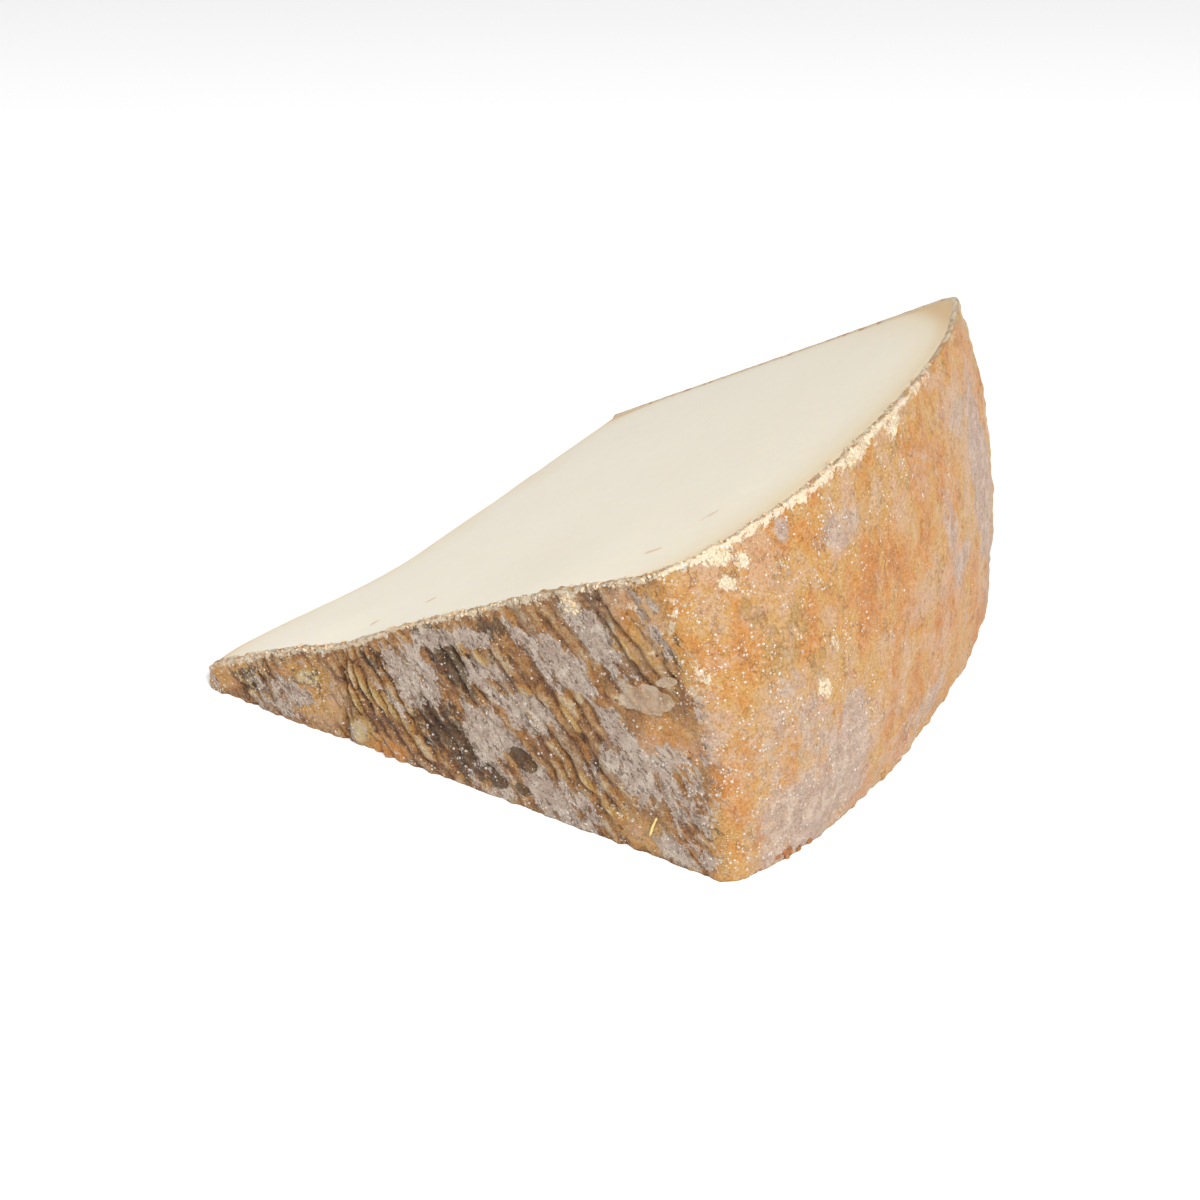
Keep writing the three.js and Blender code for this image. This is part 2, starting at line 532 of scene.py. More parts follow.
NEAR_FACE = MatFace(
    seam=30.0,
    lean_before=60.0,
    lean_after=47.0,
    pitch=2.35,
    films=ovals(
        (44.5, 17.5, 6.5, 4.6, -45), (63, 18, 8, 3.6, -20), (59.5, 9, 4.6, 7.5, 10),
        (70, 4, 8.5, 3.8, -15), (72, 26.5, 9, 3.2, -30), (80, 20, 7.5, 2.6, -48),
        (84, 13.5, 6, 3.2, -35), (92.5, 12.5, 4.2, 6.5, 20), (92, 2.5, 5.5, 1.9), (16, 3.8, 5.6, 3.4),
        (77, 33.5, 5, 2.4, -45), (47, 24, 4.2, 1.6, 20), (96.5, 22, 2.2, 9, 8, 0.6),
        (89, 36, 3, 1.4, -52, 0.8), (54, 26.5, 5, 1.6, 22), (63, 30.5, 2.6, 1, -45, 0.9),
        (81, 29, 4.5, 1, -50, 0.8), (40, 11, 3, 1, -42, 0.8),
    ),
    darks=ovals(
        (51, 8, 8, 4.2, -35), (52, 21.5, 7, 3, -35), (64.5, 8.5, 2.9, 1.7, -20, 1.7),
        (64.5, 3.2, 1.3, 0.9, 0, 1.8), (60, 3, 1.6, 1.2, 0, 1.8), (60, 29.5, 4, 1.6, 25, 0.7),
        (10.5, 5.5, 4, 2, 25, 0.5), (37.5, 17.5, 4, 1.6, 25, 0.7),
    ),
    smooth=ovals((91, 22, 8, 7), (96, 36, 4.5, 8), (88, 5, 5, 4), (22.5, 4, 5.5, 5)),
    ambers=ovals(
        (95.5, 38, 4.5, 9, 0, 1.1), (99, 15, 2, 18), (90, 20, 7, 6, 0, 0.75), (86, 38, 8, 7, 0, 0.72),
        (86, 4, 5, 4, 0, 0.8), (25, 7, 5.5, 6), (5, 5, 7.5, 3.4, 24, 1), (19, 9.5, 4, 1.6, 22, 0.8),
        (37, 1.5, 6, 2),
    ),
    crusts=ovals((73.2, 37.6, 1.8, 1.7), (96.5, 29, 1.6, 7, 12, 0.8)),
    curds=ovals(
        (23, 9.6, 2.7, 1.5, 15), (33.3, 3.2, 2.1, 2.4, -20), (10, 5.6, 0.6, 2.2, 25),
        (12.6, 5.4, 0.6, 2, 25), (8, 5, 0.5, 1.6, 25), (53, 25.3, 2.4, 1, -42, 0.9),
        (57.5, 24, 2, 0.8, -42, 0.8), (66, 16.5, 2.4, 0.7, -45, 0.8), (73, 18.5, 2.6, 0.7, -45, 0.8),
        (76, 9, 2.4, 0.8, -42, 0.8), (80, 5.5, 1.8, 0.7, -40, 0.8), (34.5, 12, 3.6, 0.6, -60, 0.8),
        (37.2, 10.6, 3.6, 0.6, -56, 0.8), (39.8, 9.4, 3.2, 0.6, -52, 0.75), (33, 8, 2.4, 0.5, -60, 0.7),
        (43, 7.6, 2.6, 0.5, -48, 0.7), (80.5, 34, 2.6, 0.6, -52, 0.7),
        (83.2, 33.4, 2.8, 0.6, -52, 0.75), (86.4, 33.8, 2.6, 0.6, -54, 0.7),
    ),
    bold=ovals(
        (10, 6, 5, 4), (37, 9, 8, 9, 0, 1.3), (54, 21, 8, 5, 0, 1.1), (86, 37, 8, 7, 0, 1.4),
        (73, 16, 9, 6, -45, 1.1), (49, 6, 6, 6, 0, 1),
    ),
    edge_wear=0.3,
    seed=11.0,
)

FAR_FACE = MatFace(
    seam=62.0,
    lean_before=132.0,
    lean_after=118.0,
    pitch=2.4,
    films=ovals(
        (36, 9, 8, 5, 30), (52, 22, 9, 4, 25), (70, 10, 9, 6, -10), (76, 33, 7, 5, 40), (88, 20, 4, 8),
    ),
    darks=ovals((46, 13, 6, 3, 35), (64, 26, 5, 2.5, 20), (27, 10, 4, 2, 30)),
    smooth=ovals((84, 40, 6, 6), (58, 6, 5, 4)),
    ambers=ovals((88, 38, 6, 12), (94, 12, 3, 14), (22, 5, 5, 4), (72, 42, 24, 3.5, -28, 1.2)),
    crusts=ovals((48, 24.5, 2, 1.2, 20)),
    curds=ovals((40, 6, 2.4, 1.2, 30), (68, 18, 2.2, 1, 40)),
    bold=ovals((45, 10, 16, 9, 0, 0.9), (78, 24, 9, 12, 0, 0.9)),
    edge_wear=0.85,
    seed=37.0,
)

HOOP_FACE = HoopFace(
    films=ovals(
        (13, 7, 9, 9, 0, 1.1), (23, 9, 7, 9.5, 15, 1.15), (25, 17.5, 4, 4), (48, 5.5, 12, 3.6, 5, 0.85),
        (66, 25, 5.5, 3.4, 0, 0.9), (84, 32, 6, 15, 6, 1.6), (60, 33, 3, 7, 10, 0.7),
        (12, 18, 9, 10, 0, 0.7), (30, 46, 8, 3, 0, 0.7), (58, 46.5, 5, 2, 0, 0.65),
        (74, 46.5, 5.5, 3, -10, 0.8), (16, 49.6, 1.2, 2.2, 0, 1.6), (1, 22, 1.4, 9, 0, 0.4),
        (92, 12, 5, 9, 0, 0.8),
    ),
    darks=ovals(
        (11, 33.5, 3, 3.2), (15, 37, 2.2, 2.2), (8, 40, 1.4, 3, 0, 0.8), (17, 29, 2, 2.4, 0, 0.7),
        (32.5, 35, 0.9, 2.6, 20, 0.8), (47, 45.5, 0.8, 1.2, 0, 1.2), (74, 47, 4, 2, 0, 0.7),
        (16, 49.6, 0.9, 1.8, 0, 1.1),
    ),
    crusts=ovals(
        (34, 55, 5.5, 2.2, 6, 1), (46, 54.6, 2.8, 1.8, 20, 1), (6.5, 47.8, 2.2, 1.3, 10, 0.95),
        (9, 47, 1, 1.4, 0, 0.95), (6.3, 44.4, 1.1, 1.3, 0, 0.95), (21, 31, 0.8, 1.6, 20, 0.85),
        (18, 25.5, 1.5, 2.2, 10, 0.85),
    ),
    curds=ovals((98, 53, 5, 9, 0, 0.6), (88, 57.5, 16, 3, 3, 0.6)),
    seed=23.0,
)


# ---- Shader helpers ----

Socket = bpy.types.NodeSocket
Value = Socket | float


class Blend(Enum):
    """How a colour is laid over another."""

    OVER = "MIX"
    MULTIPLY = "MULTIPLY"


class NodeSheet:
    """A node tree, with short calls that add a node and join it to what feeds it."""

    def __init__(self, tree: bpy.types.NodeTree) -> None:
        """Starts work on a tree, which may already hold nodes."""
        self.tree = tree

    def add(self, kind: str, **settings: object) -> bpy.types.Node:
        """Adds a node.

        Args:
            kind: The node's type, without its ShaderNode prefix.
            settings: What its own properties are set to.

        Returns:
            The node.
        """
        node = self.tree.nodes.new("ShaderNode" + kind)
        for name, value in settings.items():
            setattr(node, name, value)
        return node

    def feed(self, target: Socket, value: Value | Colour) -> None:
        """Joins a socket to what feeds it, or sets it where that is a plain value.

        Args:
            target: The input socket.
            value: A socket, a number or a colour.
        """
        if isinstance(value, bpy.types.NodeSocket):
            self.tree.links.new(value, target)
        elif isinstance(value, tuple) and target.type == "RGBA":
            target.default_value = (*value, 1.0)
        else:
            target.default_value = value

    def maths(self, operation: str, first: Value, second: Value = 0.0, clamped: bool = False) -> Socket:
        """A sum on one or two values.

        Args:
            operation: The Math node's operation.
            first: The first value.
            second: The second value, which some operations ignore.
            clamped: Whether the result is kept between 0 and 1.

        Returns:
            The result.
        """
        node = self.add("Math", operation=operation, use_clamp=clamped)
        self.feed(node.inputs[0], first)
        self.feed(node.inputs[1], second)
        return node.outputs[0]

    def times(self, first: Value, second: Value, clamped: bool = False) -> Socket:
        """Two values multiplied."""
        return self.maths("MULTIPLY", first, second, clamped)

    def plus(self, first: Value, second: Value, clamped: bool = False) -> Socket:
        """Two values added."""
        return self.maths("ADD", first, second, clamped)

    def minus(self, first: Value, second: Value) -> Socket:
        """The second value taken from the first."""
        return self.maths("SUBTRACT", first, second)

    def step(self, value: Value, low: float, high: float) -> Socket:
        """Eases from 0 at low to 1 at high.

        Args:
            value: What is eased.
            low: Where it starts to rise.
            high: Where it reaches 1. It may be under low, for a fall.

        Returns:
            The eased value.
        """
        node = self.add("MapRange", interpolation_type="SMOOTHSTEP")
        self.feed(node.inputs["Value"], value)
        self.feed(node.inputs["From Min"], low)
        self.feed(node.inputs["From Max"], high)
        return node.outputs["Result"]

    def lay(
        self, share: Value, under: Value | Colour, over: Value | Colour, blend: Blend = Blend.OVER
    ) -> Socket:
        """Lays a colour over another.

        Args:
            share: How much of the upper colour shows.
            under: The lower colour.
            over: The upper colour.
            blend: How they mix.

        Returns:
            The mixed colour.
        """
        node = self.add("Mix", data_type="RGBA", blend_type=blend.value, clamp_factor=True)
        self.feed(node.inputs[0], share)
        self.feed(node.inputs[6], under)
        self.feed(node.inputs[7], over)
        return node.outputs[2]

    def stain(
        self,
        under: Value | Colour,
        over: Value | Colour,
        share: Value,
        strength: Value,
        blend: Blend = Blend.OVER,
    ) -> Socket:
        """Lays a colour over another where a mask says, at a strength.

        Args:
            under: The lower colour.
            over: The upper colour.
            share: Where the upper colour shows, from 0 to 1.
            strength: How much of it shows there.
            blend: How they mix.

        Returns:
            The mixed colour.
        """
        return self.lay(self.times(share, strength), under, over, blend)

    def attribute(self, name: str) -> Socket:
        """What was stored on the piece's points under a name."""
        return self.add("Attribute", attribute_type="GEOMETRY", attribute_name=name).outputs["Fac"]

    def place(self, stretch: tuple[float, float, float] = (1, 1, 1), turn: float = 0.0) -> Socket:
        """The place on the object, in metres, for a pattern that is turned and stretched.

        Args:
            stretch: How much longer the pattern is along each of its own axes.
            turn: How far those are turned about the frame's Y axis, in degrees.

        Returns:
            The place.
        """
        mapping = self.add("Mapping", vector_type="TEXTURE")
        self.feed(mapping.inputs["Vector"], self.add("TexCoord").outputs["Object"])
        mapping.inputs["Rotation"].default_value = (0.0, math.radians(turn), 0.0)
        mapping.inputs["Scale"].default_value = stretch
        return mapping.outputs["Vector"]

    def cloud(self, where: Socket, size: Value, detail: float = 3.0, roughness: float = 0.55) -> Socket:
        """Cloudy noise from 0 to 1.

        Args:
            where: The place that it is read at.
            size: How far apart its lumps are, in millimetres.
            detail: How many finer layers it has.
            roughness: How strong those are.

        Returns:
            The noise.
        """
        node = self.add("TexNoise")
        self.feed(node.inputs["Vector"], where)
        self.feed(node.inputs["Scale"], self.per_metre(size))
        node.inputs["Detail"].default_value = detail
        node.inputs["Roughness"].default_value = roughness
        return node.outputs["Fac"]

    def cells(self, where: Socket, size: Value) -> bpy.types.Node:
        """Scattered points, each with its distance and a random colour.

        Args:
            where: The place that they are read at.
            size: How far apart they are, in millimetres.

        Returns:
            The node, with its Distance and Color outputs.
        """
        node = self.add("TexVoronoi")
        self.feed(node.inputs["Vector"], where)
        self.feed(node.inputs["Scale"], self.per_metre(size))
        return node

    def per_metre(self, size: Value) -> Value:
        """A spacing as a texture scale.

        Args:
            size: The spacing in millimetres, as a number or a socket.

        Returns:
            The scale.
        """
        if isinstance(size, bpy.types.NodeSocket):
            return self.maths("DIVIDE", 1 / MM, size)
        return 1 / (size * MM)

    def ramp(self, value: Socket, stops: Sequence[tuple[float, Colour]]) -> Socket:
        """Turns a value into a colour.

        Args:
            value: The value, from 0 to 1.
            stops: Values in rising order, each with its colour.

        Returns:
            The colour.
        """
        node = self.add("ValToRGB")
        elements = node.color_ramp.elements
        while len(elements) < len(stops):
            elements.new(0.5)
        for element, (position, colour) in zip(elements, stops):
            element.position = position
            element.color = (*colour, 1.0)
        self.feed(node.inputs["Fac"], value)
        return node.outputs["Color"]

    def use(self, group: bpy.types.NodeTree, **values: Value | Colour) -> bpy.types.Node:
        """Places a node group and gives its inputs their values.

        Args:
            group: The group.
            values: What each input is given, by its name in small letters.

        Returns:
            The group's node.
        """
        node = self.add("Group")
        node.node_tree = group
        for name, value in values.items():
            self.feed(node.inputs[name.title()], value)
        return node

    def roughen(self, shader: bpy.types.Node, height: Value, strength: float, depth: float) -> None:
        """Gives a shader a bumpy surface.

        Args:
            shader: The main shader.
            height: How high the surface stands.
            strength: How strongly that shows.
            depth: What a height of 1 stands for, in millimetres.
        """
        bump = self.add("Bump")
        bump.inputs["Strength"].default_value = strength
        bump.inputs["Distance"].default_value = depth * MM
        self.feed(bump.inputs["Height"], height)
        self.feed(shader.inputs["Normal"], bump.outputs["Normal"])


class Effect(Enum):
    """A surface effect that more than one material uses."""

    GRAINS = "White Grains"
    LACE = "Lacy Edge"
    MOTTLE = "Mottle"


class EffectGroups:
    """The node groups for the shared effects, each built when it is first asked for."""

    def __init__(self) -> None:
        """Starts with no group built."""
        self.built: dict[Effect, bpy.types.NodeTree] = {}

    def get(self, effect: Effect) -> bpy.types.NodeTree:
        """The group for an effect.

        Args:
            effect: The effect.

        Returns:
            Its node group.
        """
        if effect not in self.built:
            makers = {
                Effect.GRAINS: self.make_grains,
                Effect.LACE: self.make_lace,
                Effect.MOTTLE: self.make_mottle,
            }
            self.built[effect] = makers[effect]()
        return self.built[effect]

    @staticmethod
    def start(
        effect: Effect, inputs: Sequence[tuple[str, float]], outputs: Sequence[str]
    ) -> tuple[NodeSheet, bpy.types.Node, bpy.types.Node]:
        """Starts a node group.

        Args:
            effect: The effect that it is for.
            inputs: Each input's name and usual value.
            outputs: Each output's name.

        Returns:
            The sheet of the group's nodes, its input node and its output node.
        """
        tree = bpy.data.node_groups.new(effect.value, "ShaderNodeTree")
        for name, value in inputs:
            socket = tree.interface.new_socket(name, in_out="INPUT", socket_type="NodeSocketFloat")
            socket.default_value = value
        for name in outputs:
            tree.interface.new_socket(name, in_out="OUTPUT", socket_type="NodeSocketFloat")
        given = tree.nodes.new("NodeGroupInput")
        result = tree.nodes.new("NodeGroupOutput")
        return NodeSheet(tree), given, result

    def make_grains(self) -> bpy.types.NodeTree:
        """Tiny pale grains: as many as Amount says, Size millimetres apart, each Reach cells wide.

        Returns:
            The node group.
        """
        sheet, given, result = self.start(
            Effect.GRAINS, (("Amount", 0.5), ("Size", 0.8), ("Reach", 0.25)), ("Mask", "Height")
        )
        where = sheet.place()
        cell = sheet.cells(where, given.outputs["Size"])
        chance = sheet.add("SeparateColor")
        sheet.feed(chance.inputs[0], cell.outputs["Color"])
        chosen = sheet.maths("LESS_THAN", chance.outputs[0], given.outputs["Amount"])
        own_reach = sheet.times(given.outputs["Reach"], chance.outputs[1])
        inside = sheet.minus(own_reach, cell.outputs["Distance"])
        rounded = sheet.step(inside, 0.0, 0.08)
        mask = sheet.times(rounded, chosen)
        sheet.feed(result.inputs["Mask"], mask)
        sheet.feed(result.inputs["Height"], mask)
        return sheet.tree

    def make_lace(self) -> bpy.types.NodeTree:
        """A soft coverage made a film with a lacy pale Fringe, and with Pits that the film leaves open.

        Returns:
            The node group.
        """
        sheet, given, result = self.start(
            Effect.LACE, (("Cover", 0.5), ("Size", 1.6), ("Raggedness", 0.8)), ("Mask", "Pits", "Fringe")
        )
        where = sheet.place((2.0, 1.0, 1.0), STRAND_TURN)
        broad = sheet.cloud(where, given.outputs["Size"], 6.0, 0.75)
        ragged = sheet.times(sheet.minus(broad, 0.5), given.outputs["Raggedness"])
        cover = sheet.plus(given.outputs["Cover"], sheet.times(ragged, 2.0))
        mask = sheet.step(cover, 0.45, 0.53)
        fine = sheet.cloud(where, sheet.times(given.outputs["Size"], 0.4), 3.0, 0.7)
        thin = sheet.times(sheet.step(cover, 1.2, 0.5), 0.1)
        holes = sheet.step(sheet.plus(fine, thin), 0.6, 0.64)
        fringe = sheet.times(sheet.step(cover, 0.72, 0.56), mask)
        sheet.feed(result.inputs["Fringe"], fringe)
        sheet.feed(result.inputs["Mask"], mask)
        sheet.feed(result.inputs["Pits"], sheet.times(holes, mask))
        return sheet.tree

    def make_mottle(self) -> bpy.types.NodeTree:
        """Soft blotches Size millimetres apart, with a Contrast, as a mask from 0 to 1.

        Returns:
            The node group.
        """
        sheet, given, result = self.start(Effect.MOTTLE, (("Size", 8.0), ("Contrast", 2.0)), ("Mask",))
        where = sheet.place()
        cloud = sheet.cloud(where, given.outputs["Size"], 4.0, 0.6)
        spread = sheet.times(sheet.minus(cloud, 0.5), given.outputs["Contrast"])
        sheet.feed(result.inputs["Mask"], sheet.plus(spread, 0.5, clamped=True))
        return sheet.tree


EFFECTS = EffectGroups()


@dataclass(frozen=True)
class Finish:
    """What every finish shares: it makes one material of its own name."""

    name: str

    def start(self) -> tuple[bpy.types.Material, NodeSheet, bpy.types.Node]:
        """Starts the material.

        Returns:
            The material, the sheet of its nodes and its main shader.
        """
        material = bpy.data.materials.new(self.name)
        material.use_nodes = True
        sheet = NodeSheet(material.node_tree)
        shader = material.node_tree.nodes["Principled BSDF"]
        return material, sheet, shader

    @staticmethod
    def soften(
        shader: bpy.types.Node, weight: float, depth: float, radius: tuple[float, ...] = ()
    ) -> None:
        """Lets light some way into a material.

        Args:
            shader: The main shader.
            weight: How much of the light goes in.
            depth: How far it goes, in millimetres.
            radius: How far its red, green and blue go, as shares of that, or nothing for the usual ones.
        """
        shader.inputs["Subsurface Weight"].default_value = weight
        shader.inputs["Subsurface Scale"].default_value = depth * MM
        if radius:
            shader.inputs["Subsurface Radius"].default_value = radius


@dataclass(frozen=True)
class PasteFinish(Finish):
    """Smooth, moist, slightly translucent ivory curd, yellower towards the rind and the nose, and painted
    darker along the rind as shade.
    """

    name: str = "ivory_paste"
    ivory: Colour = srgb(222, 215, 199)
    shade: Colour = srgb(214, 203, 182)
    # warm and tan are partly the paste's yellowing near the rind and partly painted shade along the rind's
    # edge
    warm: Colour = srgb(212, 196, 164)
    tan: Colour = srgb(196, 164, 120)
    ochre: Colour = srgb(196, 140, 82)
    roughness: float = 0.42
    relief: float = 0.12
    ior: float = 1.44

    def material(self) -> bpy.types.Material:
        """Makes the material.

        Returns:
            The material.
        """
        material, sheet, shader = self.start()
        blotch = sheet.use(EFFECTS.get(Effect.MOTTLE), size=22.0, contrast=1.5).outputs["Mask"]
        small = sheet.use(EFFECTS.get(Effect.MOTTLE), size=3.5, contrast=1.6).outputs["Mask"]
        colour = sheet.lay(sheet.times(blotch, 0.45), self.ivory, self.shade)
        colour = sheet.stain(colour, self.shade, small, 0.12)
        yellowing_and_shade = sheet.attribute("yellowing_and_shade")
        # painted shade: warm and tan darken the paste along the rind as well as yellowing it
        colour = sheet.lay(sheet.times(yellowing_and_shade, 0.85, clamped=True), colour, self.warm)
        colour = sheet.lay(sheet.step(yellowing_and_shade, 0.75, 1.5), colour, self.tan)
        lace = sheet.use(EFFECTS.get(Effect.LACE), cover=sheet.attribute("speck"), size=1.4, raggedness=0.5)
        colour = sheet.stain(colour, self.ochre, lace.outputs["Mask"], 0.5)
        sheet.feed(shader.inputs["Base Color"], colour)
        streaks = sheet.cloud(sheet.place((1.0, 4.0, 1.0), 20.0), 2.2, 4.0, 0.6)
        grain = sheet.cloud(sheet.place(), 0.5, 3.0, 0.6)
        rough = sheet.plus(self.roughness, sheet.times(streaks, 0.16))
        sheet.feed(shader.inputs["Roughness"], rough)
        height = sheet.plus(streaks, sheet.times(grain, 0.35))
        sheet.roughen(shader, height, 0.35, self.relief)
        self.soften(shader, 0.4, 3.0, (1.0, 0.7, 0.4))
        shader.inputs["IOR"].default_value = self.ior
        return material


@dataclass(frozen=True)
class RindFinish(Finish):
    """Ripened rind: amber skin and mat-printed curd under grey mould film, crust and white grains."""

    name: str = "ripened_rind"
    # groove is painted shade for the mat's grooves and crevices; crown and pale_crown are partly painted
    # highlight on the strands' backs
    groove: Colour = srgb(78, 50, 30)
    flank: Colour = srgb(146, 102, 62)
    crown: Colour = srgb(198, 156, 104)
    pale_crown: Colour = srgb(222, 198, 158)
    grey_crown: Colour = srgb(152, 132, 112)
    brown: Colour = srgb(138, 90, 50)
    golden: Colour = srgb(192, 134, 66)
    amber: Colour = srgb(211, 147, 74)
    deep_amber: Colour = srgb(201, 132, 62)
    ochre: Colour = srgb(208, 161, 90)
    peach: Colour = srgb(211, 171, 138)
    pale_peach: Colour = srgb(228, 194, 158)
    crease_shade: Colour = srgb(156, 102, 54)
    film: Colour = srgb(188, 166, 151)
    pale_film: Colour = srgb(220, 204, 188)
    veil: Colour = srgb(184, 161, 148)
    pale_veil: Colour = srgb(211, 192, 177)
    pit: Colour = srgb(96, 70, 50)
    dark: Colour = srgb(58, 42, 28)
    olive: Colour = srgb(140, 118, 78)
    yolk: Colour = srgb(196, 152, 78)
    curd: Colour = srgb(218, 195, 150)
    # speck is multiplied in as painted shade in the fine relief's low spots
    speck: Colour = srgb(176, 146, 120)
    crust: Colour = srgb(221, 205, 178)
    grain: Colour = srgb(250, 246, 238)
    film_strength: float = 0.92
    pit_strength: float = 0.65
    veil_strength: float = 0.85
    curd_strength: tuple[float, float] = (0.8, 0.85)
    crust_strength: float = 0.85
    grain_strength: float = 0.75
    grain_size: float = 0.55
    roughness: float = 0.36
    relief: float = 1.3
    ior: float = 1.45

    def printed_colour(self, sheet: NodeSheet) -> Socket:
        """The faces' bare skin, with the mat's strands from dark grooves to pale backs: partly their own worn
        colour, partly painted shade in the grooves and painted highlight on the backs.

        Args:
            sheet: The material's nodes.

        Returns:
            The colour.
        """
        where = sheet.place()
        fibre = sheet.cloud(sheet.place((2.2, 1.0, 1.0), STRAND_TURN), 1.7, 8.0, 0.78)
        strand = sheet.minus(sheet.attribute("strand"), 0.5)
        # painted shade and highlight: the strand value follows the print's relief, so the colour runs dark in
        # its grooves and pale on its backs; the fibre noise is the strands' own worn colour
        worn = sheet.plus(fibre, sheet.times(strand, 0.4))
        stops = (
            (0.3, self.groove), (0.41, self.brown), (0.49, self.golden),
            (0.56, self.crown), (0.63, self.pale_crown),
        )
        colour = sheet.ramp(worn, stops)
        tint = sheet.step(sheet.attribute("tint"), 0.3, 0.0)
        colour = sheet.stain(colour, self.grey_crown, tint, 0.5)
        brown = sheet.use(EFFECTS.get(Effect.MOTTLE), size=5.0, contrast=3.0).outputs["Mask"]
        colour = sheet.stain(colour, self.flank, brown, 0.45)
        # painted shade: fine dark noise laid on in the groove colour as the shade of small crevices
        painted_crevice_shade = sheet.step(sheet.cloud(where, 0.8, 6.0, 0.78), 0.46, 0.38)
        return sheet.stain(colour, self.groove, painted_crevice_shade, 0.55)

    def skin_colour(self, sheet: NodeSheet) -> Socket:
        """Amber skin without the mat's print: broad blotches, faint streaks, fine mottling and creases, with
        painted shade laid in the creases.

        Args:
            sheet: The material's nodes.

        Returns:
            The colour.
        """
        where = sheet.place()
        streaks = sheet.cloud(sheet.place((1.0, 1.0, 1.7)), 9.0, 6.0, 0.68)
        stops = ((0.38, self.deep_amber), (0.46, self.amber), (0.54, self.ochre), (0.64, self.peach))
        colour = sheet.ramp(streaks, stops)
        rosy = sheet.step(sheet.cloud(where, 12.0, 6.0, 0.72), 0.5, 0.6)
        colour = sheet.stain(colour, self.peach, rosy, 0.7)
        fine = sheet.cloud(where, 1.1, 7.0, 0.8)
        colour = sheet.stain(colour, self.pale_peach, sheet.step(fine, 0.53, 0.61), 0.42)
        colour = sheet.stain(colour, self.deep_amber, sheet.step(fine, 0.47, 0.39), 0.45)
        # painted shade: the creases, which the bump also sinks, are darkened in colour too
        return sheet.stain(colour, self.crease_shade, self.creases(sheet), 0.5)

    def creases(self, sheet: NodeSheet) -> Socket:
        """Fine broken creases in the skin.

        Args:
            sheet: The material's nodes.

        Returns:
            The creases, as a mask.
        """
        folds = sheet.cloud(sheet.place((1.0, 1.0, 1.5)), 3.4, 4.0, 0.62)
        line = sheet.step(sheet.maths("ABSOLUTE", sheet.minus(folds, 0.5)), 0.03, 0.0)
        broken = sheet.step(sheet.cloud(sheet.place(), 4.0, 3.0, 0.6), 0.46, 0.58)
        return sheet.times(line, broken)

    def material(self) -> bpy.types.Material:
        """Makes the material.

        Returns:
            The material.
        """
        material, sheet, shader = self.start()
        where = sheet.place()
        hoop = sheet.attribute("hoop")
        bare = sheet.step(sheet.attribute("amber"), 0.3, 0.7)
        colour = sheet.lay(bare, self.printed_colour(sheet), self.skin_colour(sheet))

        curd = sheet.attribute("curd")
        colour = sheet.stain(colour, self.yolk, sheet.step(curd, 0.3, 0.5), self.curd_strength[0])
        colour = sheet.stain(colour, self.curd, sheet.step(curd, 0.5, 0.85), self.curd_strength[1])

        soiled = sheet.use(EFFECTS.get(Effect.LACE), cover=sheet.attribute("dark"), size=1.2, raggedness=2.0)
        share = sheet.minus(0.74, sheet.times(hoop, 0.4))
        soil = sheet.lay(hoop, self.dark, self.olive)
        colour = sheet.stain(colour, soil, soiled.outputs["Mask"], share)

        cover = sheet.attribute("film")
        lace = sheet.use(EFFECTS.get(Effect.LACE), cover=cover, size=1.5, raggedness=1.9)
        bloom = sheet.step(sheet.cloud(where, 2.4, 5.0, 0.65), 0.42, 0.62)
        # the pale fringe along the film's raised edge is partly the film's own paler rim and partly painted
        # highlight; the bloom is the film's own paler patches
        film = sheet.lay(sheet.maths("MAXIMUM", bloom, lace.outputs["Fringe"]), self.film, self.pale_film)
        flat_share = sheet.times(lace.outputs["Mask"], sheet.minus(1.0, hoop))
        colour = sheet.stain(colour, film, flat_share, self.film_strength)
        pits = sheet.times(lace.outputs["Pits"], sheet.minus(1.0, hoop))
        colour = sheet.stain(colour, self.pit, pits, self.pit_strength)
        veil_cloud = sheet.minus(sheet.cloud(where, 1.8, 7.0, 0.78), 0.5)
        veil = sheet.step(sheet.plus(cover, sheet.times(veil_cloud, 2.4)), 0.15, 0.95)
        veil = sheet.times(sheet.times(veil, hoop), self.veil_strength)
        colour = sheet.lay(veil, colour, sheet.lay(bloom, self.veil, self.pale_veil))

        # painted shade and highlight: this noise also raises the bump below; its low spots are multiplied
        # darker with the speck colour and its peaks are laid pale with the crust colour
        fine_relief = sheet.cloud(where, 0.42, 4.0, 0.75)
        colour = sheet.stain(colour, self.speck, sheet.step(fine_relief, 0.5, 0.4), 0.42, Blend.MULTIPLY)
        colour = sheet.stain(colour, self.crust, sheet.step(fine_relief, 0.54, 0.64), 0.22)

        crumb = sheet.minus(sheet.cloud(where, 0.9, 7.0, 0.82), 0.5)
        crust_cover = sheet.plus(sheet.attribute("crust"), sheet.times(crumb, 3.4))
        crust = sheet.step(crust_cover, 0.56, 0.68)
        colour = sheet.stain(colour, self.crust, crust, self.crust_strength)

        clusters = sheet.step(sheet.cloud(where, 5.0, 3.0, 0.6), 0.42, 0.62)
        amount = sheet.times(sheet.times(sheet.attribute("grain"), 2.6), clusters)
        grains = sheet.use(EFFECTS.get(Effect.GRAINS), amount=amount, size=self.grain_size, reach=0.45)
        pale = sheet.times(grains.outputs["Mask"], self.grain_strength)
        colour = sheet.lay(pale, colour, self.grain)
        sheet.feed(shader.inputs["Base Color"], colour)

        rough = sheet.plus(self.roughness, sheet.times(flat_share, 0.35))
        rough = sheet.plus(rough, sheet.times(veil, 0.3))
        rough = sheet.plus(rough, sheet.times(crust, 0.2), clamped=True)
        sheet.feed(shader.inputs["Roughness"], rough)

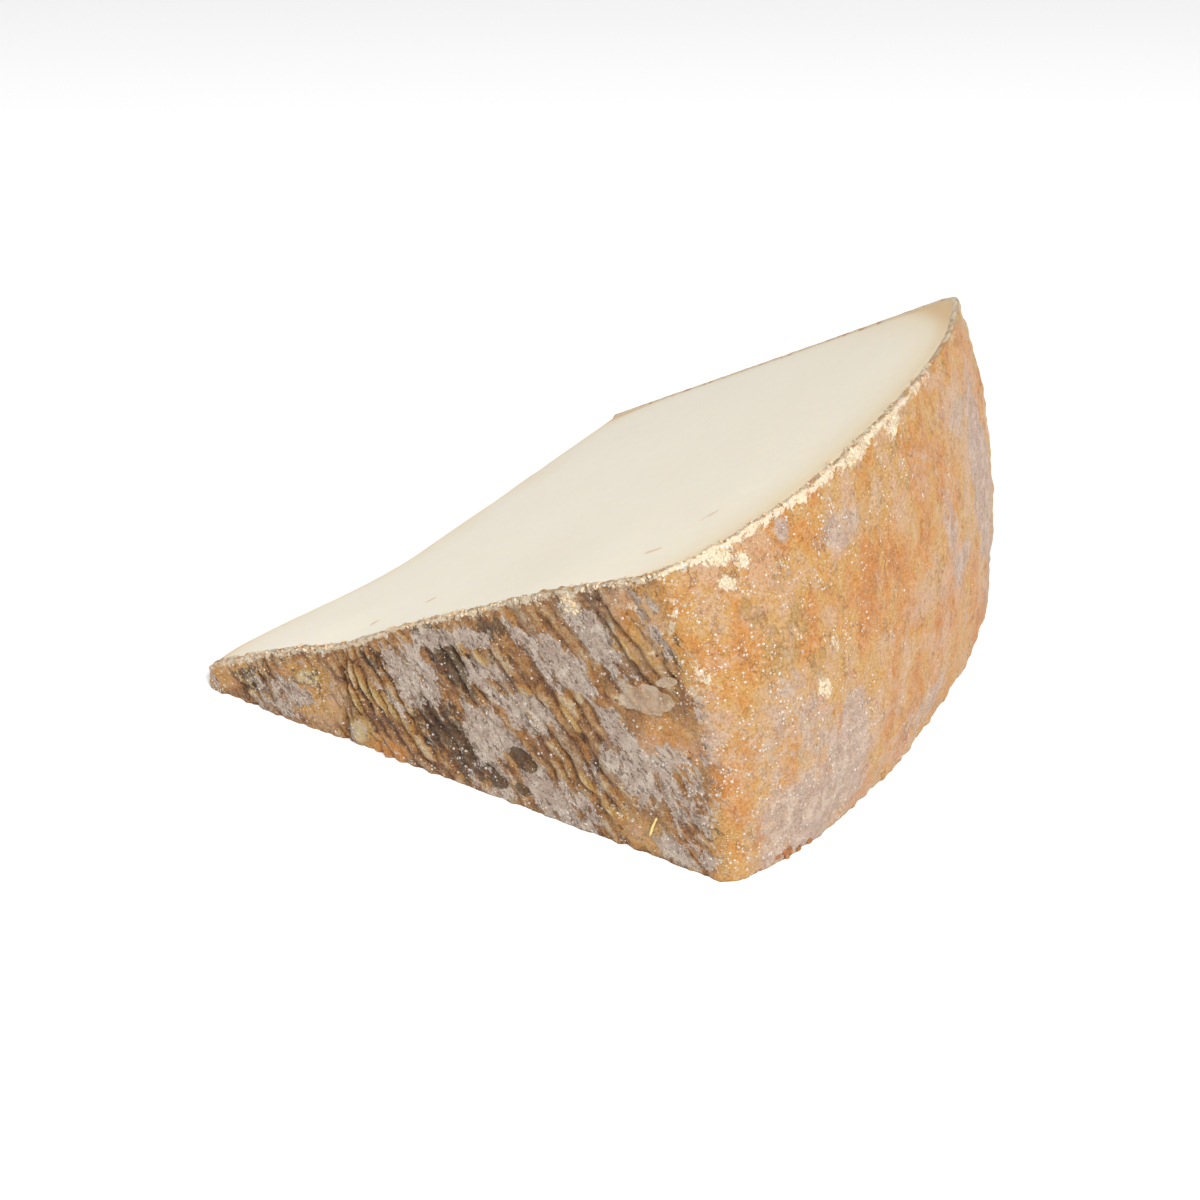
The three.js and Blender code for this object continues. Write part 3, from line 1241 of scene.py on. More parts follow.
        depth = sheet.minus(1.6, sheet.times(hoop, 0.7))
        depth = sheet.minus(depth, sheet.times(crust, 0.7))
        height = sheet.times(sheet.cloud(where, 1.0, 7.0, 0.78), depth)
        height = sheet.minus(height, sheet.times(self.creases(sheet), 0.25))
        height = sheet.plus(height, sheet.times(fine_relief, 0.35))
        height = sheet.plus(height, sheet.times(flat_share, 0.2))
        height = sheet.minus(height, sheet.times(pits, 0.3))
        height = sheet.plus(height, sheet.times(crust, 0.4))
        height = sheet.plus(height, sheet.times(grains.outputs["Height"], 0.4))
        sheet.roughen(shader, height, 0.9, self.relief)
        self.soften(shader, 0.06, 1.0, (1.0, 0.5, 0.25))
        shader.inputs["IOR"].default_value = self.ior
        return material


@dataclass(frozen=True)
class CrumbFinish(Finish):
    """Dry pale crumbs and grains of rind."""

    name: str = "dry_crumb"
    pale: Colour = srgb(210, 195, 170)
    toasted: Colour = srgb(196, 162, 120)
    roughness: float = 0.8

    def material(self) -> bpy.types.Material:
        """Makes the material.

        Returns:
            The material.
        """
        material, sheet, shader = self.start()
        shader.inputs["Specular IOR Level"].default_value = 0.2
        mottle = sheet.use(EFFECTS.get(Effect.MOTTLE), size=1.6, contrast=3.0).outputs["Mask"]
        sheet.feed(shader.inputs["Base Color"], sheet.lay(mottle, self.pale, self.toasted))
        fine = sheet.cloud(sheet.place(), 0.35, 3.0, 0.6)
        sheet.feed(shader.inputs["Roughness"], sheet.plus(self.roughness, sheet.times(fine, 0.2)))
        sheet.roughen(shader, fine, 0.5, 0.1)
        self.soften(shader, 0.2, 0.6)
        return material


@dataclass(frozen=True)
class WaxFinish(Finish):
    """A thin, clear, yellow-grey flake of fat that sweated out of the rind."""

    name: str = "clear_flake"
    clear: Colour = srgb(184, 158, 128)
    cloudy: Colour = srgb(206, 188, 166)

    def material(self) -> bpy.types.Material:
        """Makes the material.

        Returns:
            The material.
        """
        material, sheet, shader = self.start()
        mottle = sheet.use(EFFECTS.get(Effect.MOTTLE), size=1.8, contrast=3.0).outputs["Mask"]
        sheet.feed(shader.inputs["Base Color"], sheet.lay(mottle, self.clear, self.cloudy))
        fine = sheet.cloud(sheet.place(), 0.8, 3.0, 0.6)
        sheet.feed(shader.inputs["Roughness"], sheet.plus(0.15, sheet.times(fine, 0.3)))
        sheet.roughen(shader, fine, 0.4, 0.15)
        self.soften(shader, 0.3, 1.0)
        shader.inputs["Alpha"].default_value = 0.33
        return material


@dataclass(frozen=True)
class StrawFinish(Finish):
    """Dry golden straw, streaked along its length."""

    name: str = "dry_straw"
    pale: Colour = srgb(222, 204, 138)
    dull: Colour = srgb(178, 150, 84)

    def material(self) -> bpy.types.Material:
        """Makes the material.

        Returns:
            The material.
        """
        material, sheet, shader = self.start()
        streak = sheet.cloud(sheet.place((1.0, 1.0, 6.0), 20.0), 0.25, 3.0, 0.6)
        sheet.feed(shader.inputs["Base Color"], sheet.lay(sheet.step(streak, 0.4, 0.6), self.pale, self.dull))
        sheet.feed(shader.inputs["Roughness"], sheet.plus(0.4, sheet.times(streak, 0.3)))
        return material


@dataclass(frozen=True)
class FloorFinish(Finish):
    """A plain pale studio floor."""

    name: str = "studio_floor"
    white: Colour = (0.93, 0.93, 0.93)

    def material(self) -> bpy.types.Material:
        """Makes the material.

        Returns:
            The material.
        """
        material, _, shader = self.start()
        shader.inputs["Base Color"].default_value = (*self.white, 1.0)
        shader.inputs["Roughness"].default_value = 0.8
        shader.inputs["Specular IOR Level"].default_value = 0.1
        return material


# ---- The pieces ----


def finish_piece(
    name: str, shape: bmesh.types.BMesh, material: bpy.types.Material
) -> bpy.types.Object:
    """Turns a shape in the frame's metres into a piece of the wedge.

    Args:
        name: The piece's name.
        shape: Its shape, which is freed.
        material: Its material.

    Returns:
        The piece.
    """
    mesh = bpy.data.meshes.new(name)
    shape.normal_update()
    shape.to_mesh(mesh)
    shape.free()
    mesh.polygons.foreach_set("use_smooth", [True] * len(mesh.polygons))
    mesh.materials.append(material)
    piece = bpy.data.objects.new(name, mesh)
    bpy.context.scene.collection.objects.link(piece)
    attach(piece, BODY)
    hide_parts(NODE)
    return piece


@dataclass(frozen=True)
class Spot:
    """A place on the finished rind, in the frame's metres, with what is there."""

    place: Vector
    normal: Vector
    run: float
    share: float
    marks: Marks


@dataclass
class Rind:
    """The wheel's skin round the wedge: near face, hoop and far face, as one closed body.

    Lengths are in millimetres. A column runs from the lower cut to the upper one, and a row runs along
    the rind's whole length.
    """

    form: WheelForm = WHEEL
    near_columns: int = 330
    hoop_columns: int = 236
    far_columns: int = 110
    rows: int = 124
    lip_steps: tuple[float, ...] = (0.35, 0.75, 1.15, 1.55, 1.95, 2.5)
    foot_steps: tuple[float, ...] = (1.0, 2.5)
    sink: tuple[float, ...] = (0.0, 0.0, 0.05, 0.25, 0.6, 1.6)
    crumble: float = 0.55
    top_roughness: float = 0.22
    stored: tuple[str, ...] = ("strand", "tint", "curd", "film", "dark", "crust", "amber", "grain")
    spots: list[Spot] = field(default_factory=list)

    def run_at(self, column: int) -> float:
        """Where on the rind's run a column stands.

        Args:
            column: The column, counted from the near face's tip.

        Returns:
            Its place on the run, in millimetres.
        """
        if column <= self.near_columns:
            return (column / self.near_columns - 1) * self.form.near_run
        column -= self.near_columns
        if column <= self.hoop_columns:
            return column / self.hoop_columns * self.form.hoop_run
        return self.form.hoop_run + (column - self.hoop_columns) / self.far_columns * self.form.far_run

    def lip_width(self, run: float) -> float:
        """How wide the rind's cut edge is, as a share of its widest."""
        thinner = 0.25 * smoothstep(run, *QUIET_HOOP)
        return 1 - thinner - 0.2 * smoothstep(run, self.form.hoop_run - 4, self.form.hoop_run + 6)

    def marks_at(self, run: float, share: float, x: float, y: float, z: float) -> Marks:
        """What is at a place on the rind, blended where one side rounds into the next.

        Args:
            run: Place on the rind's run.
            share: 0 on the lower cut, 1 on the upper one.
            x: Place out from the axis.
            y: Place along the axis.
            z: Height over the lower cut.

        Returns:
            The marks.
        """
        top = self.form.cut_height(x, y)
        to_hoop = smoothstep(run + 0.6 * wobble(0, 0, z, 3, 5), -2.6, 1.0)
        to_far = smoothstep(run - self.form.hoop_run, -1.5, 3.0)
        parts: list[tuple[float, Marks]] = []
        if to_hoop < 1:
            parts.append((1 - to_hoop, NEAR_FACE.marks(x, z, share)))
        if to_hoop * (1 - to_far) > 0:
            parts.append((to_hoop * (1 - to_far), HOOP_FACE.marks(y, z, share, top)))
        if to_far > 0:
            parts.append((to_far, FAR_FACE.marks(x, z, share)))
        names = Marks.__dataclass_fields__
        return Marks(**{n: sum(w * getattr(m, n) for w, m in parts) for n in names})

    def lay_out(self, shape: bmesh.types.BMesh) -> None:
        """Wraps a flat grid round the wedge and gives every point its run and its share of the height.

        Args:
            shape: The empty shape to fill.
        """
        columns = self.near_columns + self.hoop_columns + self.far_columns
        run_layer = shape.verts.layers.float.new("run")
        share_layer = shape.verts.layers.float.new("share")
        bmesh.ops.create_grid(shape, x_segments=columns, y_segments=self.rows, size=0.5)
        for vert in shape.verts:
            run = self.run_at(round((vert.co.x + 0.5) * columns))
            share = clamp(vert.co.y + 0.5)
            vert[run_layer], vert[share_layer] = run, share
            vert.co = place(*self.form.edge_point(run, share))
        shape.normal_update()

    def texture(self, shape: bmesh.types.BMesh) -> None:
        """Raises and sinks the rind's surface, and stores what its finish needs at each point.

        Args:
            shape: The wrapped grid.
        """
        layers = {n: shape.verts.layers.float.new(n) for n in self.stored}
        hoop_layer = shape.verts.layers.float.new("hoop")
        run_layer = shape.verts.layers.float["run"]
        share_layer = shape.verts.layers.float["share"]
        moves: list[Vector] = []
        found: list[Marks] = []
        for vert in shape.verts:
            run, share = vert[run_layer], vert[share_layer]
            x, y, z = unplace(vert.co)
            marks = self.marks_at(run, share, x, y, z)
            for name, layer in layers.items():
                vert[layer] = getattr(marks, name)
            vert[hoop_layer] = smoothstep(run, -2, 1) * (1 - smoothstep(run - self.form.hoop_run, -1, 3))
            move = vert.normal * (marks.height * MM)
            top = self.form.cut_height(x, y)
            move.z *= smoothstep(z, 0.0, 2.0) * smoothstep(top - z, -0.5, 2.5)
            if share > 1 - EDGE_SLACK:
                rough = self.top_roughness * (1 - 0.75 * smoothstep(run, *QUIET_HOOP))
                move.z += rough * MM * (rough_wobble(x, y, 0, 2.2, 3, 14) - 0.3)
            moves.append(move)
            found.append(marks)
        for vert, move in zip(shape.verts, moves):
            vert.co += move
            vert.co.z = max(vert.co.z, CAD_BOX[0][2])
        shape.normal_update()
        for vert, marks in zip(shape.verts, found):
            run, share = vert[run_layer], vert[share_layer]
            self.spots.append(Spot(vert.co.copy(), vert.normal.copy(), run, share, marks))

    def turn_in(
        self, shape: bmesh.types.BMesh, share: float, steps: Sequence[float]
    ) -> list[bmesh.types.BMEdge]:
        """Turns one long edge of the rind in towards the paste, a step at a time.

        Args:
            shape: The rind so far.
            share: 0 for the edge on the lower cut, 1 for that on the upper one.
            steps: How far in from the outer surface each step reaches.

        Returns:
            The innermost row of edges.
        """
        run_layer = shape.verts.layers.float["run"]
        share_layer = shape.verts.layers.float["share"]
        crust_layer = shape.verts.layers.float["crust"]
        film_layer = shape.verts.layers.float["film"]
        dark_layer = shape.verts.layers.float["dark"]
        amber_layer = shape.verts.layers.float["amber"]
        row = [
            edge
            for edge in shape.edges
            if edge.is_boundary and all(abs(v[share_layer] - share) < EDGE_SLACK for v in edge.verts)
        ]
        starts = {v[run_layer]: v.co.copy() for e in row for v in e.verts}
        for number, step in enumerate(steps):
            grown = bmesh.ops.extrude_edge_only(shape, edges=row)["geom"]
            row = [
                g
                for g in grown
                if isinstance(g, bmesh.types.BMEdge)
                and g.is_boundary
                and abs(g.verts[0][run_layer] - g.verts[1][run_layer]) > EDGE_SLACK
            ]
            for vert in (g for g in grown if isinstance(g, bmesh.types.BMVert)):
                run = vert[run_layer]
                into_x, into_y = self.form.inward(run)
                x, y, z = unplace(starts[run])
                reach = step * (self.lip_width(run) if share > 0.5 else 1.0)
                x, y = x + into_x * reach, y + into_y * reach
                if share > 0.5:
                    crumbly = rough_wobble(x, y, 0, 1.5, 3, 21)
                    quiet = 1 - 0.75 * smoothstep(run, *QUIET_HOOP)
                    rough = self.crumble * quiet * (1 - number / len(steps))
                    z = self.form.cut_height(x, y) + rough * (crumbly - 0.1)
                    z -= self.sink[number]
                    paler = 0.3 * smoothstep(run, self.form.hoop_run - 20, self.form.hoop_run)
                    vert[crust_layer] = clamp(0.62 + paler + 0.7 * wobble(x, y, 0, 1.8, 17))
                    vert[film_layer] = vert[dark_layer] = 0.0
                    vert[amber_layer] = 1.0
                vert.co = place(x, y, max(0.0, z))
        return row

    @staticmethod
    def close(
        shape: bmesh.types.BMesh, upper: list[bmesh.types.BMEdge], lower: list[bmesh.types.BMEdge]
    ) -> None:
        """Joins the two turned-in edges by an inner wall and closes the rind's two ends.

        Args:
            shape: The rind so far.
            upper: The innermost row on the upper cut.
            lower: The innermost row on the lower cut.
        """
        bmesh.ops.bridge_loops(shape, edges=upper + lower)
        open_edges = [edge for edge in shape.edges if edge.is_boundary]
        bmesh.ops.holes_fill(shape, edges=open_edges, sides=0)
        bmesh.ops.recalc_face_normals(shape, faces=shape.faces)

    def build(self) -> bpy.types.Object:
        """Builds the rind and dresses it.

        Returns:
            The rind.
        """
        shape = bmesh.new()
        self.lay_out(shape)
        self.texture(shape)
        upper = self.turn_in(shape, 1.0, self.lip_steps)
        lower = self.turn_in(shape, 0.0, self.foot_steps)
        self.close(shape, upper, lower)
        return finish_piece("cheese_rind", shape, RindFinish().material())


@dataclass
class Paste:
    """The pale curd within the rind, with its two smooth cut faces and its broken nose."""

    form: WheelForm = WHEEL
    across: int = 220
    along: int = 200
    wall_rows: int = 10
    inset: float = 1.05
    lip_width: Callable[[float], float] = field(default_factory=lambda: Rind().lip_width)
    specks: tuple[Patch, ...] = ovals(
        (41, 9.6, 1.3, 0.6, 60, 0.75), (32.5, 6, 1.2, 0.8, 50, 0.65), (84.5, 19.5, 0.5, 2.8, -28, 0.6),
        (81, 9.5, 1.8, 0.7, 20, 0.7),
    )

    def curves(self, share: float) -> tuple[Callable, Callable, Callable, Callable]:
        """The four sides of the paste's level outline, each as a curve from 0 to 1.

        Args:
            share: 0 on the lower cut, 1 on the upper one.

        Returns:
            The sides along the near face, the far face, the nose and the hoop.
        """
        start, end = self.form.strip
        rim = self.form.hoop_run

        @lru_cache(maxsize=None)
        def along_rind(first: float, last: float, part: float) -> tuple[float, float]:
            """A place on a side that lies against the rind."""
            run = lerp(first, last, part)
            x, y, _ = self.form.edge_point(run, share, self.inset * self.lip_width(run))
            return x, y

        near = partial(along_rind, start, 0.0)
        far = partial(along_rind, end, rim)
        hoop = partial(along_rind, 0.0, rim)

        def nose(part: float) -> tuple[float, float]:
            """A place on the broken nose."""
            y = lerp(near(0)[1], far(0)[1], part)
            ends = 4 * part * (1 - part)
            return self.form.nose(y) + 0.5 * ends * wobble(0, y, 20 * share, 9, 2), y

        return near, far, nose, hoop

    def yellowing_and_shade(self, x: float, y: float, hoop_gap: float, far_gap: float) -> float:
        """How yellow the paste is, with painted shade along the rind: more towards the nose, the tips and the
        far rim, and along the hoop's lip.

        Args:
            x: Place out from the axis.
            y: Place along the axis.
            hoop_gap: How far inside the hoop's rind it is.
            far_gap: How far inside the far face's rind it is.

        Returns:
            The warmth, about 0 to 2.
        """
        nose_gap = x - self.form.nose(y)
        ragged = 0.25 * wobble(x, y, 0, 9, 6)
        return (
            0.75 * bell(nose_gap, 0, 5.5)
            + 0.55 * bell(x, 0, 9) * bell(y, 0, 14)
            + 0.8 * bell(x, 20, 9) * bell(far_gap, 0, 7)
            # painted shade: the far corner and the band along the hoop's lip are darkened here as well as
            # yellowed
            + 1.1 * bell(hoop_gap, 0, 19) * bell(far_gap, 0, 15)
            + 0.5 * bell(far_gap, 0, 3.2)
            + 0.9 * bell(hoop_gap, 0, 7)
            + 0.15 * bell(x, 90, 40)
            + ragged * bell(nose_gap, 0, 12)
        )

    def build(self) -> bpy.types.Object:
        """Builds the paste and dresses it.

        Returns:
            The paste.
        """
        shape = bmesh.new()
        u_layer, v_layer = (shape.verts.layers.float.new(n) for n in ("u", "v"))
        warm_layer = shape.verts.layers.float.new("yellowing_and_shade")
        speck_layer = shape.verts.layers.float.new("speck")
        bmesh.ops.create_grid(shape, x_segments=self.across, y_segments=self.along, size=0.5)
        near, far, nose, hoop = self.curves(1.0)
        corners = (near(0.0), near(1.0), far(0.0), far(1.0))
        for vert in shape.verts:
            u = round((vert.co.x + 0.5) * self.across) / self.across
            v = round((vert.co.y + 0.5) * self.along) / self.along
            vert[u_layer], vert[v_layer] = u, v
            x, y = (
                (1 - v) * near(u)[k] + v * far(u)[k] + (1 - u) * nose(v)[k] + u * hoop(v)[k]
                - (1 - u) * (1 - v) * corners[0][k] - u * (1 - v) * corners[1][k]
                - (1 - u) * v * corners[2][k] - u * v * corners[3][k]
                for k in (0, 1)
            )
            width, depth = hoop(v)[0] - nose(v)[0], far(u)[1] - near(u)[1]
            hoop_gap, near_gap, far_gap = (1 - u) * width, v * depth, (1 - v) * depth
            rind_gap = min(hoop_gap, near_gap, far_gap)
            fall = 0.2 * (1 - smoothstep(rind_gap, 0.0, 1.3)) + 0.12 * bell(rind_gap, 0, 3)
            fall += 0.9 * (1 - smoothstep(u * width, 0.0, 1.6)) ** 2
            fall += 0.05 * wobble(x, y, 0, 3.0, 9) + 0.08 * wobble(x, y * 0.3, 0, 8, 4)
            vert[warm_layer] = clamp(self.yellowing_and_shade(x, y, hoop_gap, far_gap), 0, 2)
            vert[speck_layer] = covered(self.specks, x, y)
            vert.co = place(x, y, self.form.cut_height(x, y) - fall)
        self.drop_walls(shape)
        return finish_piece("cheese_paste", shape, PasteFinish().material())

    def drop_walls(self, shape: bmesh.types.BMesh) -> None:
        """Takes the walls down to the lower cut and closes it.

        Args:
            shape: The upper face.
        """
        u_layer, v_layer = shape.verts.layers.float["u"], shape.verts.layers.float["v"]
        row = [edge for edge in shape.edges if edge.is_boundary]
        tops = {(v[u_layer], v[v_layer]): v.co.z for e in row for v in e.verts}
        for number in range(1, self.wall_rows + 1):
            share = 1 - number / self.wall_rows
            near, far, nose, hoop = self.curves(share)
            grown = bmesh.ops.extrude_edge_only(shape, edges=row)["geom"]
            row = [g for g in grown if isinstance(g, bmesh.types.BMEdge) and g.is_boundary]
            for vert in (g for g in grown if isinstance(g, bmesh.types.BMVert)):
                u, v = vert[u_layer], vert[v_layer]
                if v in (0.0, 1.0):
                    x, y = (near if v == 0.0 else far)(u)
                else:
                    x, y = (nose if u == 0.0 else hoop)(v)
                height = (tops[u, v] - CAD_BOX[0][2]) / MM
                if u == 0.0 and 0 < number < self.wall_rows:
                    x += 0.7 * rough_wobble(x, y, 3 * share, 5, 3, 8) * (1 - abs(2 * share - 1))
                vert.co = place(x, y, height * share)
        bmesh.ops.holes_fill(shape, edges=row, sides=0)
        bmesh.ops.recalc_face_normals(shape, faces=shape.faces)


@dataclass
class Crumbs:
    """Crumbs broken from the rind by the knife, crust that stands on it, and grains of mould on its skin."""

    seed: int = 7
    lip_count: int = 700
    grain_count: int = 2400
    foot_count: int = 16
    lip_radius: tuple[float, float] = (0.14, 0.46)
    crust_radius: tuple[float, float] = (0.2, 0.7)
    foot_radius: tuple[float, float] = (0.3, 0.6)
    grain_radius: tuple[float, float] = (0.05, 0.17)
    lip_flatness: tuple[float, float] = (0.3, 0.7)
    crust_flatness: tuple[float, float] = (0.14, 0.34)
    grain_flatness: float = 0.8
    foot_flatness: float = 0.5
    bedding: float = 0.08
    lip_end: float = 62.0
    lip_share: float = 0.985
    foot_share: float = 0.03
    foot_run: tuple[float, float] = (8.0, 16.0)
    crumbs_per_crust: int = 24

    @staticmethod
    def lump(
        shape: bmesh.types.BMesh,
        spot: Vector,
        normal: Vector,
        radius: float,
        flat: float,
        detail: int,
        turn: float,
    ) -> None:
        """Adds one rough lump that lies on the surface.

        Args:
            shape: The shape that it joins.
            spot: Its centre.
            normal: The surface's outward direction.
            radius: Its radius, in millimetres.
            flat: Its thickness, as a share of its width.
            detail: How finely it is divided.
            turn: How far it is turned about the surface's direction.
        """
        stand = normal.to_track_quat("Z", "Y").to_matrix().to_4x4()
        squash = Matrix.Diagonal((1.0, 0.62, flat, 1.0))
        pose = Matrix.Translation(spot) @ stand @ Matrix.Rotation(turn, 4, "Z") @ squash
        one = bmesh.new()
        bmesh.ops.create_icosphere(one, subdivisions=detail, radius=radius * MM, matrix=pose)
        for vert in one.verts:
            away = vert.co - spot
            vert.co += away * (0.55 * noise.noise(vert.co / (0.55 * radius * MM)))
        mesh = bpy.data.meshes.new("one_lump")
        one.to_mesh(mesh)
        one.free()
        shape.from_mesh(mesh)
        bpy.data.meshes.remove(mesh)

    def lip_weight(self, spot: Spot) -> float:
        """How thickly crumbs lie at a place on the cut's edge.

        Args:
            spot: The place.

        Returns:
            Its weight in the draw.
        """
        if spot.run > self.lip_end or spot.share < self.lip_share:
            return 0.0
        return (
            0.35
            + 1.3 * bell(spot.run, -46, 9)
            + 0.8 * bell(spot.run, -3, 8)
            + 0.9 * bell(spot.run, 22, 18)
            - 0.3 * smoothstep(spot.run, -70, -95)
        )

    def build_crumbs(self, spots: Sequence[Spot], draw: random.Random) -> bpy.types.Object:
        """Builds the crumbs along the cut's edge and the crusts on the hoop and near face.

        Args:
            spots: The rind's surface.
            draw: The source of chance.

        Returns:
            The piece.
        """
        shape = bmesh.new()
        weights = [max(0.0, self.lip_weight(spot)) for spot in spots]
        for spot in draw.choices(spots, weights, k=self.lip_count):
            into_x, into_y = WHEEL.inward(spot.run)
            reach = draw.uniform(-0.1, 1.5)
            inward = Vector((into_x, into_y, 0.45 * into_x)) * (reach * MM)
            normal = (spot.normal + Vector((0, 0, 1))).normalized()
            radius = draw.uniform(*self.lip_radius) * draw.uniform(0.6, 1.3)
            flat = draw.uniform(*self.lip_flatness)
            self.lump(shape, spot.place + inward, normal, radius, flat, 1, draw.uniform(0, ANY_TURN))
        sides = ((HOOP_FACE.crusts, 0.0, WHEEL.hoop_run), (NEAR_FACE.crusts, -WHEEL.near_run, 0.0))
        for crusts, first, last in sides:
            side_spots = [spot for spot in spots if first < spot.run < last]
            for crust in crusts:
                near = [s for s in side_spots if self.on_patch(s, crust)]
                for spot in draw.choices(near, k=min(self.crumbs_per_crust, len(near))) if near else ():
                    radius = draw.uniform(*self.crust_radius) * min(1.0, 0.45 + 0.2 * crust.half_along)
                    centre = spot.place - spot.normal * (self.bedding * radius * MM)
                    flat = draw.uniform(*self.crust_flatness)
                    self.lump(shape, centre, spot.normal, radius, flat, 1, draw.uniform(0, ANY_TURN))
        return finish_piece("rind_crumbs", shape, CrumbFinish().material())

    @staticmethod
    def on_patch(spot: Spot, patch: Patch) -> bool:
        """Whether a place on the rind is well within a patch."""
        x, y, z = unplace(spot.place)
        return patch.weight(y if spot.run > 0 else x, z) > 0.62

    def build_grains(self, spots: Sequence[Spot], draw: random.Random) -> bpy.types.Object:
        """Builds the white grains of mould that stand on the skin.

        Args:
            spots: The rind's surface.
            draw: The source of chance.

        Returns:
            The piece.
        """
        shape = bmesh.new()
        weights = [self.grain_weight(spot) for spot in spots]
        for spot in draw.choices(spots, weights, k=self.grain_count):
            radius = draw.uniform(*self.grain_radius) * draw.uniform(0.5, 1.0)
            turn = draw.uniform(0, ANY_TURN)
            self.lump(shape, spot.place, spot.normal, radius, self.grain_flatness, 1, turn)
        mould = CrumbFinish("mould_grain", srgb(238, 230, 214), srgb(216, 198, 168))
        return finish_piece("mould_grains", shape, mould.material())

    def grain_weight(self, spot: Spot) -> float:
        """How thickly grains stand at a place: in drifts, and more along the near rim.

        Args:
            spot: The place.

        Returns:
            Its weight in the draw.
        """
        if spot.share < self.foot_share:
            return 0.0
        x, y, z = unplace(spot.place)
        drift = smoothstep(wobble(x, y, z, 7, 41), -0.25, 0.5)
        return (spot.marks.grain + 0.6 * bell(spot.run, 0, 4)) * drift + 0.02

    def build_foot_flakes(self, spots: Sequence[Spot], draw: random.Random) -> bpy.types.Object:
        """Builds the rusty flakes that stick out under the hoop, close to the near rim.

        Args:
            spots: The rind's surface.
            draw: The source of chance.

        Returns:
            The piece.
        """
        shape = bmesh.new()
        first, last = self.foot_run
        low = [spot for spot in spots if first < spot.run < last and spot.share < self.foot_share]
        for spot in draw.choices(low, k=self.foot_count):
            radius = draw.uniform(*self.foot_radius)
            centre = spot.place + Vector((0.2, 0.0, 0.7)) * (radius * MM)
            turn = draw.uniform(0, ANY_TURN)
            self.lump(shape, centre, spot.normal, radius, self.foot_flatness, 2, turn)
        rusty = CrumbFinish("rusty_flake", srgb(158, 108, 70), srgb(120, 76, 46))
        return finish_piece("foot_flakes", shape, rusty.material())

    def build(self, rind: Rind) -> list[bpy.types.Object]:
        """Builds the crumbs, the grains and the flakes on a rind.

        Args:
            rind: The rind, already built.

        Returns:
            The pieces.
        """
        draw = random.Random(self.seed)
        makers = (self.build_crumbs, self.build_grains, self.build_foot_flakes)
        return [maker(rind.spots, draw) for maker in makers]


@dataclass
class Flakes:
    """Flat clear flakes that cling to the near face close to its rim."""

    flakes: tuple[Patch, ...] = ovals((86, 26.2, 4.1, 2.6, 8), (89.4, 30.2, 1.9, 0.8, 25))
    thickness: float = 0.34
    lift: float = 0.2
    detail: int = 4

    def build(self) -> bpy.types.Object:
        """Builds the flakes.

        Returns:
            The flakes, as one piece.
        """
        shape = bmesh.new()
        for flake in self.flakes:
            turn = Matrix.Rotation(-math.radians(flake.turn), 4, "Y")
            size = Matrix.Diagonal((flake.half_along, self.thickness, flake.half_up, 1.0))
            centre = place(flake.along, -self.lift, flake.up)
            pose = Matrix.Translation(centre) @ turn @ size
            made = bmesh.ops.create_icosphere(
                shape, subdivisions=self.detail, radius=MM, matrix=pose
            )
            for vert in made["verts"]:
                away = vert.co - centre
                x, y, z = unplace(vert.co)
                away.y = 0.0
                vert.co += away * (0.38 * rough_wobble(x, 0, z, 3.2, 4, 5))
                vert.co.y += 0.18 * MM * rough_wobble(x, 0, z, 1.4, 3, 6)
        return finish_piece("clear_flakes", shape, WaxFinish().material())


@dataclass
class StrawChip:
    """A short chip of straw stuck low on the near face."""

    x: float = 87.6
    z: float = 5.4
    length: float = 3.4
    radius: float = 0.26
    lean: float = 17.0
    rings: int = 5

    def build(self) -> bpy.types.Object:
        """Builds the chip.

        Returns:
            The chip.
        """
        shape = bmesh.new()
        centre = place(self.x, -0.25, self.z)
        pose = Matrix.Translation(centre) @ Matrix.Rotation(math.radians(self.lean), 4, "Y")
        bmesh.ops.create_cone(
            shape, cap_ends=True, segments=8, radius1=self.radius * MM, radius2=0.7 * self.radius * MM,
            depth=self.length * MM, matrix=pose,
        )
        long_edges = [e for e in shape.edges if e.calc_length() > 0.5 * self.length * MM]
        bmesh.ops.subdivide_edges(shape, edges=long_edges, cuts=self.rings)
        for vert in shape.verts:
            up = (vert.co.z - centre.z) / (self.length * MM)
            vert.co.x += 0.5 * MM * up * up
        return finish_piece("straw_chip", shape, StrawFinish().material())


# ---- The studio ----


